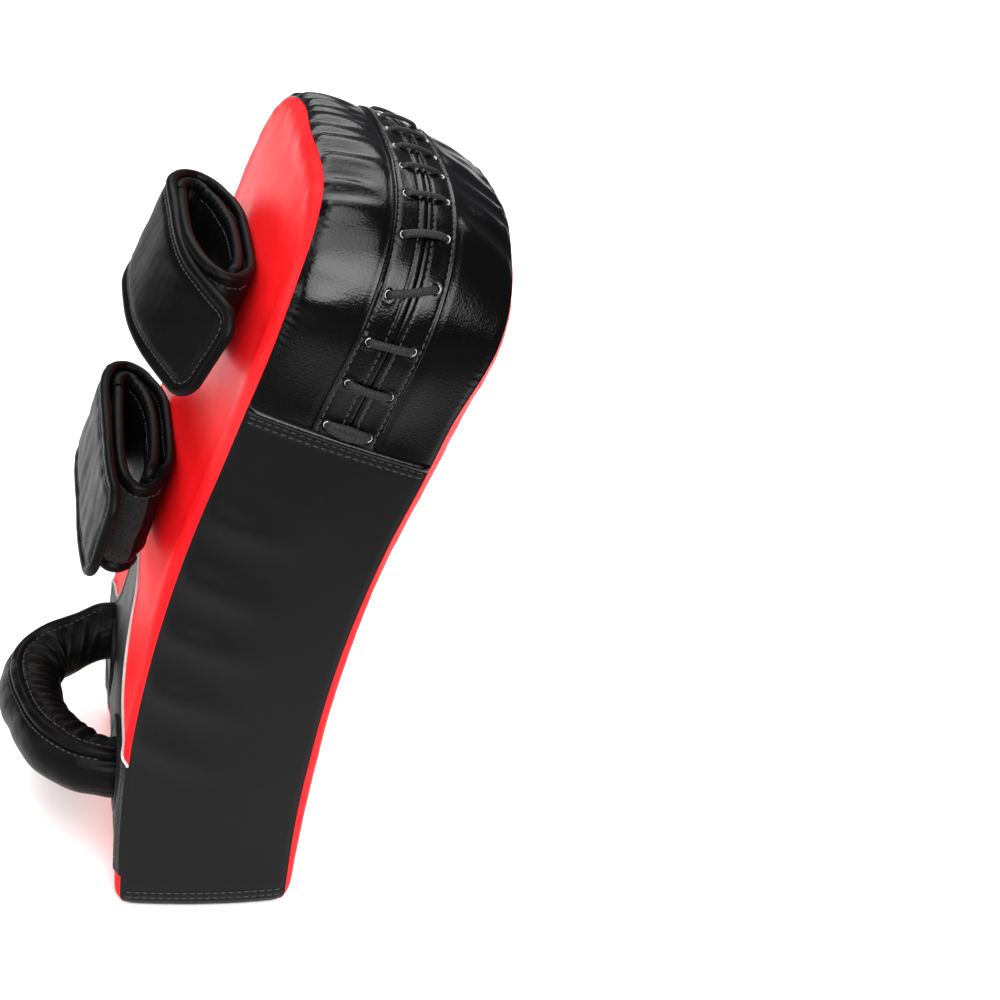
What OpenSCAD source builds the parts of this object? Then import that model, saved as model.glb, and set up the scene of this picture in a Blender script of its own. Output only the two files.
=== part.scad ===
// Curved kick and punch pad for the forearm: a laced synthetic-leather cover
// over three foam layers, two padded forearm straps and a stuffed hand grip.
// Frame: X across the pad, -Y the strike face, +Y the arm side, +Z up the pad,
// with the origin at the centre of the flat base.
// "s" is the distance up the pad's curved middle surface, and "off" the
// distance out of that surface towards the arm side.

/* [Pad] */
// Length of the pad along its curved middle surface
pad_length = 400; // [360:5:440]
// Half of the pad's width at the base
base_half_width = 92; // [84:1:100]
// Half of the pad's width at the shoulders
top_half_width = 98; // [90:1:106]
// Thickness between the seams at the base
base_thickness = 89; // [80:1:100]
// Thickness between the seams over the middle
middle_thickness = 94; // [85:1:105]
// Thickness between the seams at the top
top_thickness = 103; // [95:1:115]
// Forward lean of the upper half in degrees
top_lean = 18; // [10:1:24]
// Height of the rounded top
top_round = 63; // [50:1:80]
// Squareness of the rounded top, where 2 is an ellipse
top_square = 2.8; // [2:0.1:4]
// How far the strike face crowns
face_crown = 15; // [6:1:20]
// How far the arm side crowns
back_crown = 6; // [3:0.5:8]
// How far the side walls swell
side_swell = 2.5; // [1:0.5:4]

/* [Cover] */
// Thickness of the cover's skin
skin = 2; // [1.5:0.1:2.5]
// Height of the seam between the lower and upper side walls
seam_s = 290; // [270:5:310]
// Half of the width of the laced placket
placket_half = 17; // [14:1:20]
// Gap between the two placket edges
slit = 1.6; // [1:0.1:3]
// Lowest edge of the black reinforcement on the arm side
patch_bottom = 22; // [16:1:30]
// Top of the reinforcement at the pad's edges
patch_side_top = 84; // [70:1:100]
// Top of the reinforcement's arch at the middle
patch_arch_top = 170; // [120:1:174]
// Share of the half width where the arch has fallen to half its rise
patch_arch_spread = 0.27; // [0.2:0.01:0.6]

/* [Lace] */
// Diameter of the lace
lace_d = 4; // [3:0.5:5]
// Distance between stitches of the lace
lace_pitch = 24; // [22:0.5:25]
// Distance of the first stitch from the seam
lace_start = 7; // [6:0.5:9]
// Length of one stitch across the slit
stitch_length = 21; // [16:1:24]
// Number of stitches
stitches = 15; // [13:1:15]

/* [Straps] */
// Width of a strap along the pad
strap_width = 51; // [45:1:58]
// Height of the upper strap's centre
upper_strap_s = 312; // [305:1:316]
// Height of the lower strap's centre
lower_strap_s = 205; // [198:1:215]
// Thickness of the outer flap
flap_thickness = 4.5; // [4:0.5:5]
// Thickness of the padded inner band
band_thickness = 6; // [5:0.5:6]
// Thickness of the hook and loop tapes
tape = 0.8; // [0.5:0.1:1]

/* [Grip] */
// Diameter of the stuffed grip
grip_d = 36; // [32:1:36]
// Half of the distance between the grip's roots
grip_half_span = 51; // [48:1:60]
// Distance of the grip bar's centre from the arm side's edge
grip_reach = 52; // [46:1:56]
// Height of the grip up the pad
grip_s = 64; // [60:1:72]
// Radius of the grip's bends
grip_bend = 24; // [22:1:24]

/* [Hidden] */

red = [0.86, 0.06, 0.05];
black = [0.08, 0.08, 0.09];
gloss_black = [0.14, 0.14, 0.15];
foam_blue = [0.35, 0.55, 0.75];
foam_grey = [0.62, 0.63, 0.65];
gap = 0.3;

// ---- the pad's curved middle surface ----
bend_from = 30;
bend_to = 250;
bend_radius = (bend_to - bend_from) / (top_lean * PI / 180);
shoulder_s = pad_length - top_round;

function lean(s) = top_lean * min(max((s - bend_from) / (bend_to - bend_from), 0), 1);
function spine(s) =
  s <= bend_from ? [0, s]
  : s <= bend_to ? [bend_radius * (cos(lean(s)) - 1), bend_from + bend_radius * sin(lean(s))]
  : spine(bend_to) + (s - bend_to) * [-sin(top_lean), cos(top_lean)];
function at(p, off) =
  let (c = spine(p[1]), a = lean(p[1])) [p[0], c[0] + off * cos(a), c[1] + off * sin(a)];

function thick(s) = lookup(s, [
  [0, base_thickness], [100, middle_thickness],
  [250, middle_thickness + 0.5], [pad_length, top_thickness]
]);
function half_width(s) =
  base_half_width + (top_half_width - base_half_width) * min(s / shoulder_s, 1);
function width_at(s) =
  s <= shoulder_s ? half_width(s)
  : top_half_width * pow(max(1 - pow((s - shoulder_s) / top_round, top_square), 0.0001), 1 / top_square);
function crown(p) =
  (1 - pow(min(abs(p[0]) / width_at(p[1]), 1), 2.5))
  * (1 - pow(abs(2 * p[1] / pad_length - 1), 6));

// ---- the rim, as points numbered from the left foot over the top to the right foot ----
low_steps = 14;
high_steps = 3;
arc_steps = 24;
foot_steps = 10;
side_steps = low_steps + high_steps;
rim_last = 2 * side_steps + arc_steps;
loop_count = rim_last + foot_steps;

function power(v, e) = sign(v) * pow(abs(v), e);
function side_s(k, foot) =
  k <= low_steps ? foot + (seam_s - foot) * k / low_steps
  : seam_s + (shoulder_s - seam_s) * (k - low_steps) / high_steps;
function rim(k, inset, foot = 0) =
  k <= side_steps ? let (s = side_s(k, foot)) [-(half_width(s) - inset), s]
  : k < side_steps + arc_steps ? let (a = 180 * (k - side_steps) / arc_steps)
    [-(top_half_width - inset) * power(cos(a), 2 / top_square),
     shoulder_s + (top_round - inset) * power(sin(a), 2 / top_square)]
  : k <= rim_last ? let (s = side_s(rim_last - k, foot)) [half_width(s) - inset, s]
  : [(half_width(foot) - inset) * (1 - 2 * (k - rim_last) / foot_steps), foot];

seam_left = low_steps;
seam_right = rim_last - low_steps;

// Swell of a side wall at a distance off the middle surface
function swell(k, off) =
  let (s = rim(k, 0)[1], f = 2 * off / thick(s)) side_swell * (1 - f * f);

// ---- closed solids between two matching grids of points ----
module between(outer, inner) {
  rows = len(outer);
  cols = len(outer[0]);
  n = rows * cols;
  points = [for (g = [outer, inner]) for (r = g) for (p = r) p];
  function id(g, i, j) = g * n + i * cols + j;
  sheets = [for (i = [0 : rows - 2]) for (j = [0 : cols - 2]) each [
    [id(0, i, j), id(0, i, j + 1), id(0, i + 1, j + 1)], [id(0, i, j), id(0, i + 1, j + 1), id(0, i + 1, j)],
    [id(1, i, j), id(1, i + 1, j + 1), id(1, i, j + 1)], [id(1, i, j), id(1, i + 1, j), id(1, i + 1, j + 1)]]];
  ends = [for (j = [0 : cols - 2]) each [
    [id(0, 0, j), id(1, 0, j), id(1, 0, j + 1)], [id(0, 0, j), id(1, 0, j + 1), id(0, 0, j + 1)],
    [id(0, rows - 1, j), id(1, rows - 1, j + 1), id(1, rows - 1, j)],
    [id(0, rows - 1, j), id(0, rows - 1, j + 1), id(1, rows - 1, j + 1)]]];
  sides = [for (i = [0 : rows - 2]) each [
    [id(0, i, 0), id(0, i + 1, 0), id(1, i + 1, 0)], [id(0, i, 0), id(1, i + 1, 0), id(1, i, 0)],
    [id(0, i, cols - 1), id(1, i + 1, cols - 1), id(0, i + 1, cols - 1)],
    [id(0, i, cols - 1), id(1, i, cols - 1), id(1, i + 1, cols - 1)]]];
  polyhedron(points, concat(sheets, ends, sides));
}

// A layer that fills the outline between two surfaces; each surface is
// [fraction of the thickness, fixed distance, crown height]
ring_sizes = [1, 0.95, 0.86, 0.72, 0.5, 0.25];
hub_s = pad_length / 2;
function level(p, f) = thick(p[1]) / 2 * f[0] + f[1] + f[2] * crown(p);
module layer(front, back, inset, foot) {
  rings = len(ring_sizes);
  n = rings * loop_count;
  flat = [for (r = ring_sizes) for (k = [0 : loop_count - 1])
    let (p = rim(k, inset, foot)) [p[0] * r, hub_s + (p[1] - hub_s) * r]];
  points = concat(
    [for (p = flat) at(p, level(p, front))], [at([0, hub_s], level([0, hub_s], front))],
    [for (p = flat) at(p, level(p, back))], [at([0, hub_s], level([0, hub_s], back))]);
  function id(g, i, k) = g * (n + 1) + i * loop_count + (k % loop_count);
  ring_faces = [for (i = [0 : rings - 2]) for (k = [0 : loop_count - 1]) each [
    [id(0, i, k), id(0, i, k + 1), id(0, i + 1, k + 1)], [id(0, i, k), id(0, i + 1, k + 1), id(0, i + 1, k)],
    [id(1, i, k), id(1, i + 1, k + 1), id(1, i, k + 1)], [id(1, i, k), id(1, i + 1, k), id(1, i + 1, k + 1)]]];
  hub_faces = [for (k = [0 : loop_count - 1]) each [
    [id(0, rings - 1, k), id(0, rings - 1, k + 1), n],
    [id(1, rings - 1, k), 2 * n + 1, id(1, rings - 1, k + 1)]]];
  rim_faces = [for (k = [0 : loop_count - 1]) each [
    [id(0, 0, k), id(1, 0, k), id(1, 0, k + 1)], [id(0, 0, k), id(1, 0, k + 1), id(0, 0, k + 1)]]];
  polyhedron(points, concat(ring_faces, hub_faces, rim_faces));
}

// A stretch of side wall between two distances off the middle surface
function wall_off(k, f) = let (s = rim(k, 0)[1]) (thick(s) / 2 - skin) * f;
module wall(from, to, offs) {
  outer = [for (k = [from : to]) [for (o = offs)
    let (off = abs(o) <= 1 ? wall_off(k, o) : o) at(rim(k, -swell(k, off), skin), off)]];
  inner = [for (k = [from : to]) [for (o = offs)
    let (off = abs(o) <= 1 ? wall_off(k, o) : o) at(rim(k, skin, skin), off)]];
  between(outer, inner);
}

// ---- cover ----
module strike_face_panel() {
  color(red) layer([-1, 0, -face_crown], [-1, skin, -face_crown], 0, 0);
}

module back_panel() {
  color(red) layer([1, -skin, back_crown], [1, 0, back_crown], 0, 0);
}

function arch(x) =
  let (f = min(abs(x) / half_width(patch_side_top), 1))
  patch_side_top + (patch_arch_top - patch_side_top) / (1 + pow(f / patch_arch_spread, 2.2));
reinforcement_lift = 0.5;
reinforcement_t = 1.2;
module back_reinforcement() {
  cols = 40;
  rows = 8;
  function spot(i, j) =
    let (f = 2 * j / cols - 1, top = arch(f * base_half_width), s = patch_bottom + (top - patch_bottom) * i / rows)
    [f * (half_width(s) - 0.5), s];
  function grid(extra) = [for (i = [0 : rows]) [for (j = [0 : cols])
    let (p = spot(i, j)) at(p, level(p, [1, extra, back_crown]))]];
  color(black) between(grid(reinforcement_lift), grid(reinforcement_lift + reinforcement_t));
}

module bottom_panel() {
  color(black) translate([-base_half_width, -base_thickness / 2 + skin, 0])
    cube([2 * base_half_width, base_thickness - 2 * skin, skin]);
}

side_levels = [-1, -0.66, -0.33, 0, 0.33, 0.66, 1];
module left_side_wall() {
  color(black) wall(0, seam_left, side_levels);
}

module right_side_wall() {
  color(black) wall(seam_right, rim_last, side_levels);
}

module top_wall_front_strip() {
  color(gloss_black) wall(seam_left, seam_right, [-1, -30, -placket_half]);
}

module top_wall_back_strip() {
  color(gloss_black) wall(seam_left, seam_right, [placket_half, 30, 1]);
}

module placket_front() {
  color(gloss_black) wall(seam_left, seam_right, [-placket_half, -9, -slit / 2 - 1]);
}

module placket_back() {
  color(gloss_black) wall(seam_left, seam_right, [slit / 2 + 1, 9, placket_half]);
}

// The folded edge that lies over the seam between the lower and upper walls
module seam_welt(k, side) {
  steps = 12;
  function spot(i, s, lift) =
    let (off = (thick(s) / 2 - skin) * (2 * i / steps - 1), f = 2 * off / thick(s))
    at([side * (half_width(s) + side_swell * (1 - f * f) + lift), s], off);
  function grid(lift) = [for (s = [seam_s - 4, seam_s, seam_s + 3]) [for (i = [0 : steps]) spot(i, s, lift)]];
  if (side < 0) between(grid(0.3), grid(1.6));
  else between(grid(1.6), grid(0.3));
}

module left_seam_welt() {
  color(gloss_black) seam_welt(seam_left, -1);
}

module right_seam_welt() {
  color(gloss_black) seam_welt(seam_right, 1);
}

// ---- lace: a zigzag that crosses the slit outside and runs on to the next stitch inside ----
function rim_length(k) = k == 0 ? 0 : rim_length(k - 1) + norm(rim(k, 0) - rim(k - 1, 0));
rim_lengths = [for (k = [0 : rim_last]) rim_length(k)];
function rim_at(d) =
  let (k = min(max([for (i = [0 : rim_last - 1]) if (rim_lengths[i] <= d) i]), rim_last - 1),
       f = (d - rim_lengths[k]) / (rim_lengths[k + 1] - rim_lengths[k])) k + f;
function rim_between(kf, inset) =
  let (k = min(floor(kf), rim_last - 1), f = kf - k) rim(k, inset) * (1 - f) + rim(k + 1, inset) * f;

lace_out = side_swell + lace_d / 2 + 0.2;
lace_in = -(skin + lace_d / 2 + 0.4);
function lace_spot(d, off, depth) = at(rim_between(rim_at(d), -depth), off);
function stitch(i) =
  let (d = rim_lengths[seam_left] + lace_start + i * lace_pitch, h = stitch_length / 2) [
    lace_spot(d - lace_pitch * 0.15, -h + 2, lace_in),
    lace_spot(d, -h, -skin / 2),
    lace_spot(d, -h + 1.5, lace_out),
    lace_spot(d, h - 1.5, lace_out),
    lace_spot(d, h, -skin / 2),
    lace_spot(d + lace_pitch * 0.15, h - 2, lace_in)
  ];
lace_path = [for (i = [0 : stitches - 1]) each stitch(i)];

module tube(path, d, sides) {
  n = len(path);
  function dir(i) =
    let (v = path[min(i + 1, n - 1)] - path[max(i - 1, 0)]) v / norm(v);
  function side_of(t) = let (c = cross(t, abs(t[2]) < 0.8 ? [0, 0, 1] : [1, 0, 0])) c / norm(c);
  points = [for (i = [0 : n - 1]) for (j = [0 : sides - 1])
    let (t = dir(i), u = side_of(t), v = cross(t, u), a = 360 * j / sides)
    path[i] + d / 2 * (cos(a) * u + sin(a) * v)];
  walls = [for (i = [0 : n - 2]) for (j = [0 : sides - 1])
    let (a = i * sides + j, b = i * sides + (j + 1) % sides) each [[a, a + sides, b + sides], [a, b + sides, b]]];
  caps = [[for (j = [0 : sides - 1]) j], [for (j = [sides - 1 : -1 : 0]) (n - 1) * sides + j]];
  polyhedron(points, concat(walls, caps));
}

module lace() {
  color([0.05, 0.05, 0.05]) tube(lace_path, lace_d, 8);
}

// A strip of cloth that keeps the lace off the foam
liner_depth = skin + lace_d + 1.4;
module lacing_liner() {
  levels = [-placket_half + 1, 0, placket_half - 1];
  function grid(depth) = [for (k = [seam_left : seam_right]) [for (o = levels) at(rim(k, depth), o)]];
  color([0.12, 0.12, 0.12]) between(grid(liner_depth), grid(liner_depth + 1));
}

// ---- foam ----
strike_foam_depth = 30;
back_board_depth = 18;
module strike_foam() {
  color(foam_grey) layer([-1, skin + 0.5, -face_crown], [-1, strike_foam_depth, 0], skin + 0.5, skin + 0.5);
}

module core_foam() {
  color(foam_blue) layer([-1, strike_foam_depth + 1, 0], [1, -back_board_depth - 1, 0],
    liner_depth + 1.3, skin + 0.5);
}

module back_board() {
  color(foam_grey) layer([1, -back_board_depth, 0], [1, -skin - 0.5, back_crown], skin + 0.5, skin + 0.5);
}

// ---- straps: profiles in a plane of [X, height over the arm side's edge] ----
function curve(a, b, c, d, t) =
  0.5 * (2 * b + (c - a) * t + (2 * a - 5 * b + 4 * c - d) * t * t + (3 * b - a - 3 * c + d) * t * t * t);
function smooth(p, n = 5) = concat(
  [for (i = [0 : len(p) - 2]) for (j = [0 : n - 1])
    curve(p[max(i - 1, 0)], p[i], p[i + 1], p[min(i + 2, len(p) - 1)], j / n)],
  [p[len(p) - 1]]);
function across(p, i) =
  let (v = p[min(i + 1, len(p) - 1)] - p[max(i - 1, 0)]) [-v[1], v[0]] / norm(v);
function rail(p, d) = [for (i = [0 : len(p) - 1]) p[i] + d * across(p, i)];
function part_of(p, from, to) = [for (i = [from : to]) p[i]];
function reversed(p) = [for (i = [len(p) - 1 : -1 : 0]) p[i]];

module ribbon(p, d0, d1, width) {
  translate([0, 0, -width / 2]) linear_extrude(width) polygon(concat(rail(p, d0), reversed(rail(p, d1))));
}

module on_back(s) {
  c = spine(s);
  translate([0, c[0], c[1]]) rotate([lean(s), 0, 0]) translate([0, thick(s) / 2, 0]) children();
}

near_hinge = [-63, 20];
upper_far_hinge = [60, 22];
lower_far_hinge = [56, 21];
bead_r = 4;
base_t = 4;
base_lining_t = 6;
base_height = back_crown + gap + base_t / 2;
function base_path(far) = smooth([[-59, 17], [-48, 12], [-36, base_height + 0.8], [-14, base_height],
  [8, base_height], [26, base_height + 0.8], far + [-14, -8], far + [-3.5, -3.2]]);
upper_flap_path = smooth([upper_far_hinge, [64, 31], [55, 40], [36, 46.5], [10, 49], [-18, 48.8],
  [-44, 46], [-66, 38], [-82, 31.5], [-93, 28]]);
lower_flap_path = smooth([lower_far_hinge, [60, 29], [51, 37], [34, 40.6], [10, 41], [-18, 41],
  [-46, 41.3], [-68, 41.2], [-82, 40.5], [-93, 39.5]]);
upper_band_path = smooth([near_hinge, [-63.5, 25.5], [-57, 32], [-43, 37.5], [-26, 40.5], [-6, 41.3], [16, 41.3]]);
lower_band_path = smooth([near_hinge, [-63.5, 25], [-57, 29.8], [-43, 32.8], [-26, 33.8], [-6, 34.1], [16, 34.1]]);

module strap_base(s, far) {
  color(black) on_back(s) ribbon(base_path(far), -base_t / 2, base_t / 2, strap_width);
}

// Padded lining sewn on the base, under the forearm
module base_lining(s, far) {
  path = base_path(far);
  color(black) on_back(s)
    ribbon(part_of(path, 6, len(path) - 7), base_t / 2, base_t / 2 + base_lining_t, strap_width);
}

module bead(p) {
  translate([p[0], p[1], -strap_width / 2]) cylinder(h = strap_width, r = bead_r, $fn = 32);
}

// Stitch margin round the padding inside a cover
margin = 4;
module band_inside(p) {
  ribbon(part_of(p, 6, len(p) - 3), -band_thickness / 2 + 1, band_thickness / 2 - 1, strap_width - 2 * margin);
}

module band_cover(s, p) {
  color(black) on_back(s) difference() {
    union() {
      bead(near_hinge);
      ribbon(p, -band_thickness / 2, band_thickness / 2, strap_width);
    }
    band_inside(p);
  }
}

module band_padding(s, p) {
  color(foam_grey) on_back(s) band_inside(p);
}

module loop_tape(s, p) {
  color([0.1, 0.1, 0.1]) on_back(s)
    ribbon(part_of(p, 12, len(p) - 2), band_thickness / 2, band_thickness / 2 + tape, strap_width - 2 * margin);
}

// The free end of a flap has round corners
flap_end_r = 12;
flap_reach = 92;
module flap_outline() {
  w = strap_width / 2;
  rotate([90, 0, 0]) translate([0, 0, -80]) linear_extrude(90) {
    translate([-flap_reach + flap_end_r, -w]) square([160, strap_width]);
    translate([-flap_reach, -w + flap_end_r]) square([20, strap_width - 2 * flap_end_r]);
    for (side = [-1, 1])
      translate([-flap_reach + flap_end_r, side * (w - flap_end_r)]) circle(r = flap_end_r, $fn = 48);
  }
}

module flap_inside(p) {
  ribbon(part_of(p, 6, len(p) - 6), -flap_thickness / 2 + 1, flap_thickness / 2 - 1, strap_width - 2 * margin);
}

module flap_cover(s, p) {
  color(black) on_back(s) difference() {
    union() {
      bead(p[0]);
      intersection() {
        ribbon(p, -flap_thickness / 2, flap_thickness / 2, strap_width);
        flap_outline();
      }
    }
    flap_inside(p);
  }
}

module flap_padding(s, p) {
  color(foam_grey) on_back(s) flap_inside(p);
}

flap_lining_t = 8;
module flap_lining(s, p) {
  color(black) on_back(s)
    ribbon(part_of(p, 6, 18), flap_thickness / 2, flap_thickness / 2 + flap_lining_t, strap_width);
}

module hook_tape(s, p) {
  color([0.1, 0.1, 0.1]) on_back(s)
    ribbon(part_of(p, 22, len(p) - 7), flap_thickness / 2, flap_thickness / 2 + tape, strap_width - 2 * margin);
}

module upper_strap_base() { strap_base(upper_strap_s, upper_far_hinge); }
module upper_base_lining() { base_lining(upper_strap_s, upper_far_hinge); }
module upper_band_cover() { band_cover(upper_strap_s, upper_band_path); }
module upper_band_padding() { band_padding(upper_strap_s, upper_band_path); }
module upper_loop_tape() { loop_tape(upper_strap_s, upper_band_path); }
module upper_flap_cover() { flap_cover(upper_strap_s, upper_flap_path); }
module upper_flap_padding() { flap_padding(upper_strap_s, upper_flap_path); }
module upper_flap_lining() { flap_lining(upper_strap_s, upper_flap_path); }
module upper_hook_tape() { hook_tape(upper_strap_s, upper_flap_path); }
module lower_strap_base() { strap_base(lower_strap_s, lower_far_hinge); }
module lower_base_lining() { base_lining(lower_strap_s, lower_far_hinge); }
module lower_band_cover() { band_cover(lower_strap_s, lower_band_path); }
module lower_band_padding() { band_padding(lower_strap_s, lower_band_path); }
module lower_loop_tape() { loop_tape(lower_strap_s, lower_band_path); }
module lower_flap_cover() { flap_cover(lower_strap_s, lower_flap_path); }
module lower_flap_padding() { flap_padding(lower_strap_s, lower_flap_path); }
module lower_flap_lining() { flap_lining(lower_strap_s, lower_flap_path); }
module lower_hook_tape() { hook_tape(lower_strap_s, lower_flap_path); }

// ---- grip: a stuffed tube bent to a D, hinged where its roots are sewn on ----
grip_root_h = back_crown + 2.5 + grip_d / 2;
root_barrel = 8;
module grip_tube(r) {
  bar = grip_half_span - grip_bend;
  leg = grip_reach - grip_bend - grip_root_h;
  for (side = [-1, 1]) {
    translate([side * grip_half_span, grip_root_h, 0]) sphere(r = r, $fn = 48);
    translate([side * grip_half_span - root_barrel / 2, grip_root_h, 0]) rotate([0, 90, 0])
      cylinder(h = root_barrel, r = r, $fn = 48);
    translate([side * grip_half_span, grip_root_h, 0]) rotate([-90, 0, 0]) cylinder(h = leg, r = r, $fn = 48);
    translate([side * bar, grip_reach - grip_bend, 0]) rotate([0, 0, side > 0 ? 0 : 90])
      rotate_extrude(angle = 90, $fn = 48) translate([grip_bend, 0]) circle(r = r, $fn = 48);
  }
  translate([-bar, grip_reach, 0]) rotate([0, 90, 0]) cylinder(h = 2 * bar, r = r, $fn = 48);
}

grip_cover_t = 1.5;
module grip_cover() {
  color(black) on_back(grip_s) difference() {
    grip_tube(grip_d / 2);
    grip_tube(grip_d / 2 - grip_cover_t);
  }
}

module grip_stuffing() {
  color(foam_grey) on_back(grip_s) grip_tube(grip_d / 2 - grip_cover_t);
}

// Round patches that the roots are sewn to, lying on the reinforcement
root_patch_r = 25;
root_patch_t = 1.5;
module grip_patch(side) {
  steps = 8;
  function disc(u, v) = root_patch_r * [u * sqrt(1 - v * v / 2), v * sqrt(1 - u * u / 2)];
  function grid(lift) = [for (i = [0 : steps]) [for (j = [0 : steps])
    let (p = [side * grip_half_span, grip_s] + disc(2 * i / steps - 1, 2 * j / steps - 1))
    at(p, level(p, [1, lift, back_crown]))]];
  low = reinforcement_lift + reinforcement_t + gap;
  color(black) between(grid(low), grid(low + root_patch_t));
}

module grip_left_patch() { grip_patch(-1); }
module grip_right_patch() { grip_patch(1); }

strike_face_panel();
back_panel();
back_reinforcement();
bottom_panel();
left_side_wall();
right_side_wall();
top_wall_front_strip();
top_wall_back_strip();
placket_front();
placket_back();
left_seam_welt();
right_seam_welt();
lace();
lacing_liner();
strike_foam();
core_foam();
back_board();
upper_strap_base();
upper_base_lining();
upper_band_cover();
upper_band_padding();
upper_loop_tape();
upper_flap_cover();
upper_flap_padding();
upper_flap_lining();
upper_hook_tape();
lower_strap_base();
lower_base_lining();
lower_band_cover();
lower_band_padding();
lower_loop_tape();
lower_flap_cover();
lower_flap_padding();
lower_flap_lining();
lower_hook_tape();
grip_cover();
grip_stuffing();
grip_left_patch();
grip_right_patch();
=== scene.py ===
"""Looks of the curved kick pad: leather cover, lace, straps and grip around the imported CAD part.

Lengths are in millimetres until mesh() turns them into metres. As in part.scad, s is the
distance up the pad's curved middle surface, off the distance out of it towards the arm side,
and d the distance along the pad's rim from the left foot, over the top, to the right foot.
"""

import math

import bpy
import numpy as np
from mathutils import Matrix, Vector


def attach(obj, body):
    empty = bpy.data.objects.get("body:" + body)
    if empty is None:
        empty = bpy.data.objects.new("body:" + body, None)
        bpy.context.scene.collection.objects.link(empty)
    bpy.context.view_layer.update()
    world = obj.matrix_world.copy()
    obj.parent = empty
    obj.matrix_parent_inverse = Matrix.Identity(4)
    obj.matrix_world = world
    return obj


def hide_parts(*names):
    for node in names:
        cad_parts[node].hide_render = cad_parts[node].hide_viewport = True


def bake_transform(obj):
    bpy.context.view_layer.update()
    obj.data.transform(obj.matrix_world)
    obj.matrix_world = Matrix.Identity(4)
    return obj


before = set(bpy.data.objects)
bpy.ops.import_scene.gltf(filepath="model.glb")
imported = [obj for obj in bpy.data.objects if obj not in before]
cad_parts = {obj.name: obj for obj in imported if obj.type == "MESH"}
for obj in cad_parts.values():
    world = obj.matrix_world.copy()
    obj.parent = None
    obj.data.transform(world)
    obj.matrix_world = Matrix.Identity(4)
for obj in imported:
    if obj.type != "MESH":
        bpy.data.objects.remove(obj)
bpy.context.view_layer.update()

MM = 0.001

# ---- the pad's shape, as in part.scad ----
LENGTH = 400.0
BASE_HALF, TOP_HALF = 92.0, 98.0
TOP_LEAN = math.radians(18)
BEND_FROM, BEND_TO = 30.0, 250.0
BEND_RADIUS = (BEND_TO - BEND_FROM) / TOP_LEAN
TOP_ROUND, TOP_SQUARE = 63.0, 2.8
SHOULDER = LENGTH - TOP_ROUND
SEAM_S = 290.0
FACE_CROWN, BACK_CROWN, SIDE_SWELL = 15.0, 6.0, 2.5
PLACKET_HALF, SLIT_HALF = 17.0, 0.06
SEAM_DROP, SEAM_INSET = 1.3, 0.9
SKIN = 1.5
FOOT_ROUND, FOOT_TUCK = 9.0, 7.0
LACE_START, LACE_PITCH, STITCHES = 7.0, 24.0, 15
PATCH_BOTTOM, PATCH_SIDE_TOP, PATCH_ARCH_TOP, PATCH_ARCH_SPREAD = 22.0, 84.0, 170.0, 0.27
STRAP_HALF = 25.5


def lean(s):
    return TOP_LEAN * np.clip((s - BEND_FROM) / (BEND_TO - BEND_FROM), 0, 1)


def at(x, s, off):
    """Points of the row frame, for points x, s of the middle surface and a distance off it."""
    x, s, off = np.broadcast_arrays(np.asarray(x, float), np.asarray(s, float), np.asarray(off, float))
    a = lean(s)
    over = np.maximum(s - BEND_TO, 0)
    y = BEND_RADIUS * (np.cos(a) - 1) - over * np.sin(a)
    z = np.minimum(s, BEND_FROM) + BEND_RADIUS * np.sin(a) + over * np.cos(a)
    return np.stack([x, y + off * np.cos(a), z + off * np.sin(a)], -1)


def half_thick(s):
    return np.interp(s, [0, 100, 250, 400], [44.5, 47, 47.25, 51.5])


def half_width(s):
    return BASE_HALF + (TOP_HALF - BASE_HALF) * np.minimum(s / SHOULDER, 1)


def width_at(s):
    rise = np.clip((s - SHOULDER) / TOP_ROUND, 0, 1)
    rounded = TOP_HALF * np.maximum(1 - rise**TOP_SQUARE, 1e-4) ** (1 / TOP_SQUARE)
    return np.where(s <= SHOULDER, half_width(s), rounded)


def crown(x, s):
    return (1 - np.minimum(np.abs(x) / width_at(s), 1) ** 2.5) * (1 - np.abs(2 * s / LENGTH - 1) ** 6)


def rim_table():
    """The rim's points and outward normals at every half millimetre of d."""
    s = np.linspace(0, SHOULDER, 300)
    a = np.linspace(0, math.pi, 1500)[1:-1]
    x_arc = -TOP_HALF * np.sign(np.cos(a)) * np.abs(np.cos(a)) ** (2 / TOP_SQUARE)
    s_arc = SHOULDER + TOP_ROUND * np.sin(a) ** (2 / TOP_SQUARE)
    x = np.concatenate([-half_width(s), x_arc, half_width(s[::-1])])
    y = np.concatenate([s, s_arc, s[::-1]])
    d = np.concatenate([[0], np.cumsum(np.hypot(np.diff(x), np.diff(y)))])
    even = np.arange(0, d[-1] + 0.25, 0.5)
    x, y = np.interp(even, d, x), np.interp(even, d, y)
    tx, ty = np.gradient(x), np.gradient(y)
    tx, ty = averaged(tx, 9), averaged(ty, 9)
    size = np.hypot(tx, ty)
    return even, x, y, -ty / size, tx / size, d[-1]


def tuck(s):
    """How far the cover turns in towards the flat base."""
    return FOOT_TUCK * (1 - np.sqrt(np.maximum(1 - (1 - np.clip(s / FOOT_ROUND, 0, 1)) ** 2, 0)))


def waves(seed, count, shortest, longest):
    """A smooth random field of two coordinates, about -1.5 to 1.5."""
    rng = np.random.default_rng(seed)
    turn = rng.uniform(0, 2 * math.pi, count)
    rate = 2 * math.pi / rng.uniform(shortest, longest, count)
    phase = rng.uniform(0, 2 * math.pi, count)

    def field(u, v):
        total = 0.0
        for t, r, p in zip(turn, rate, phase):
            total = total + np.sin(r * (u * math.cos(t) + v * math.sin(t)) + p)
        return total / math.sqrt(count)

    return field


def grid(a, b):
    return np.meshgrid(a, b, indexing="ij")


def circle(n):
    return np.linspace(0, 2 * math.pi, n, endpoint=False)


def bump(x, centre, width):
    return np.exp(-(((x - centre) / width) ** 2))


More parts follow.
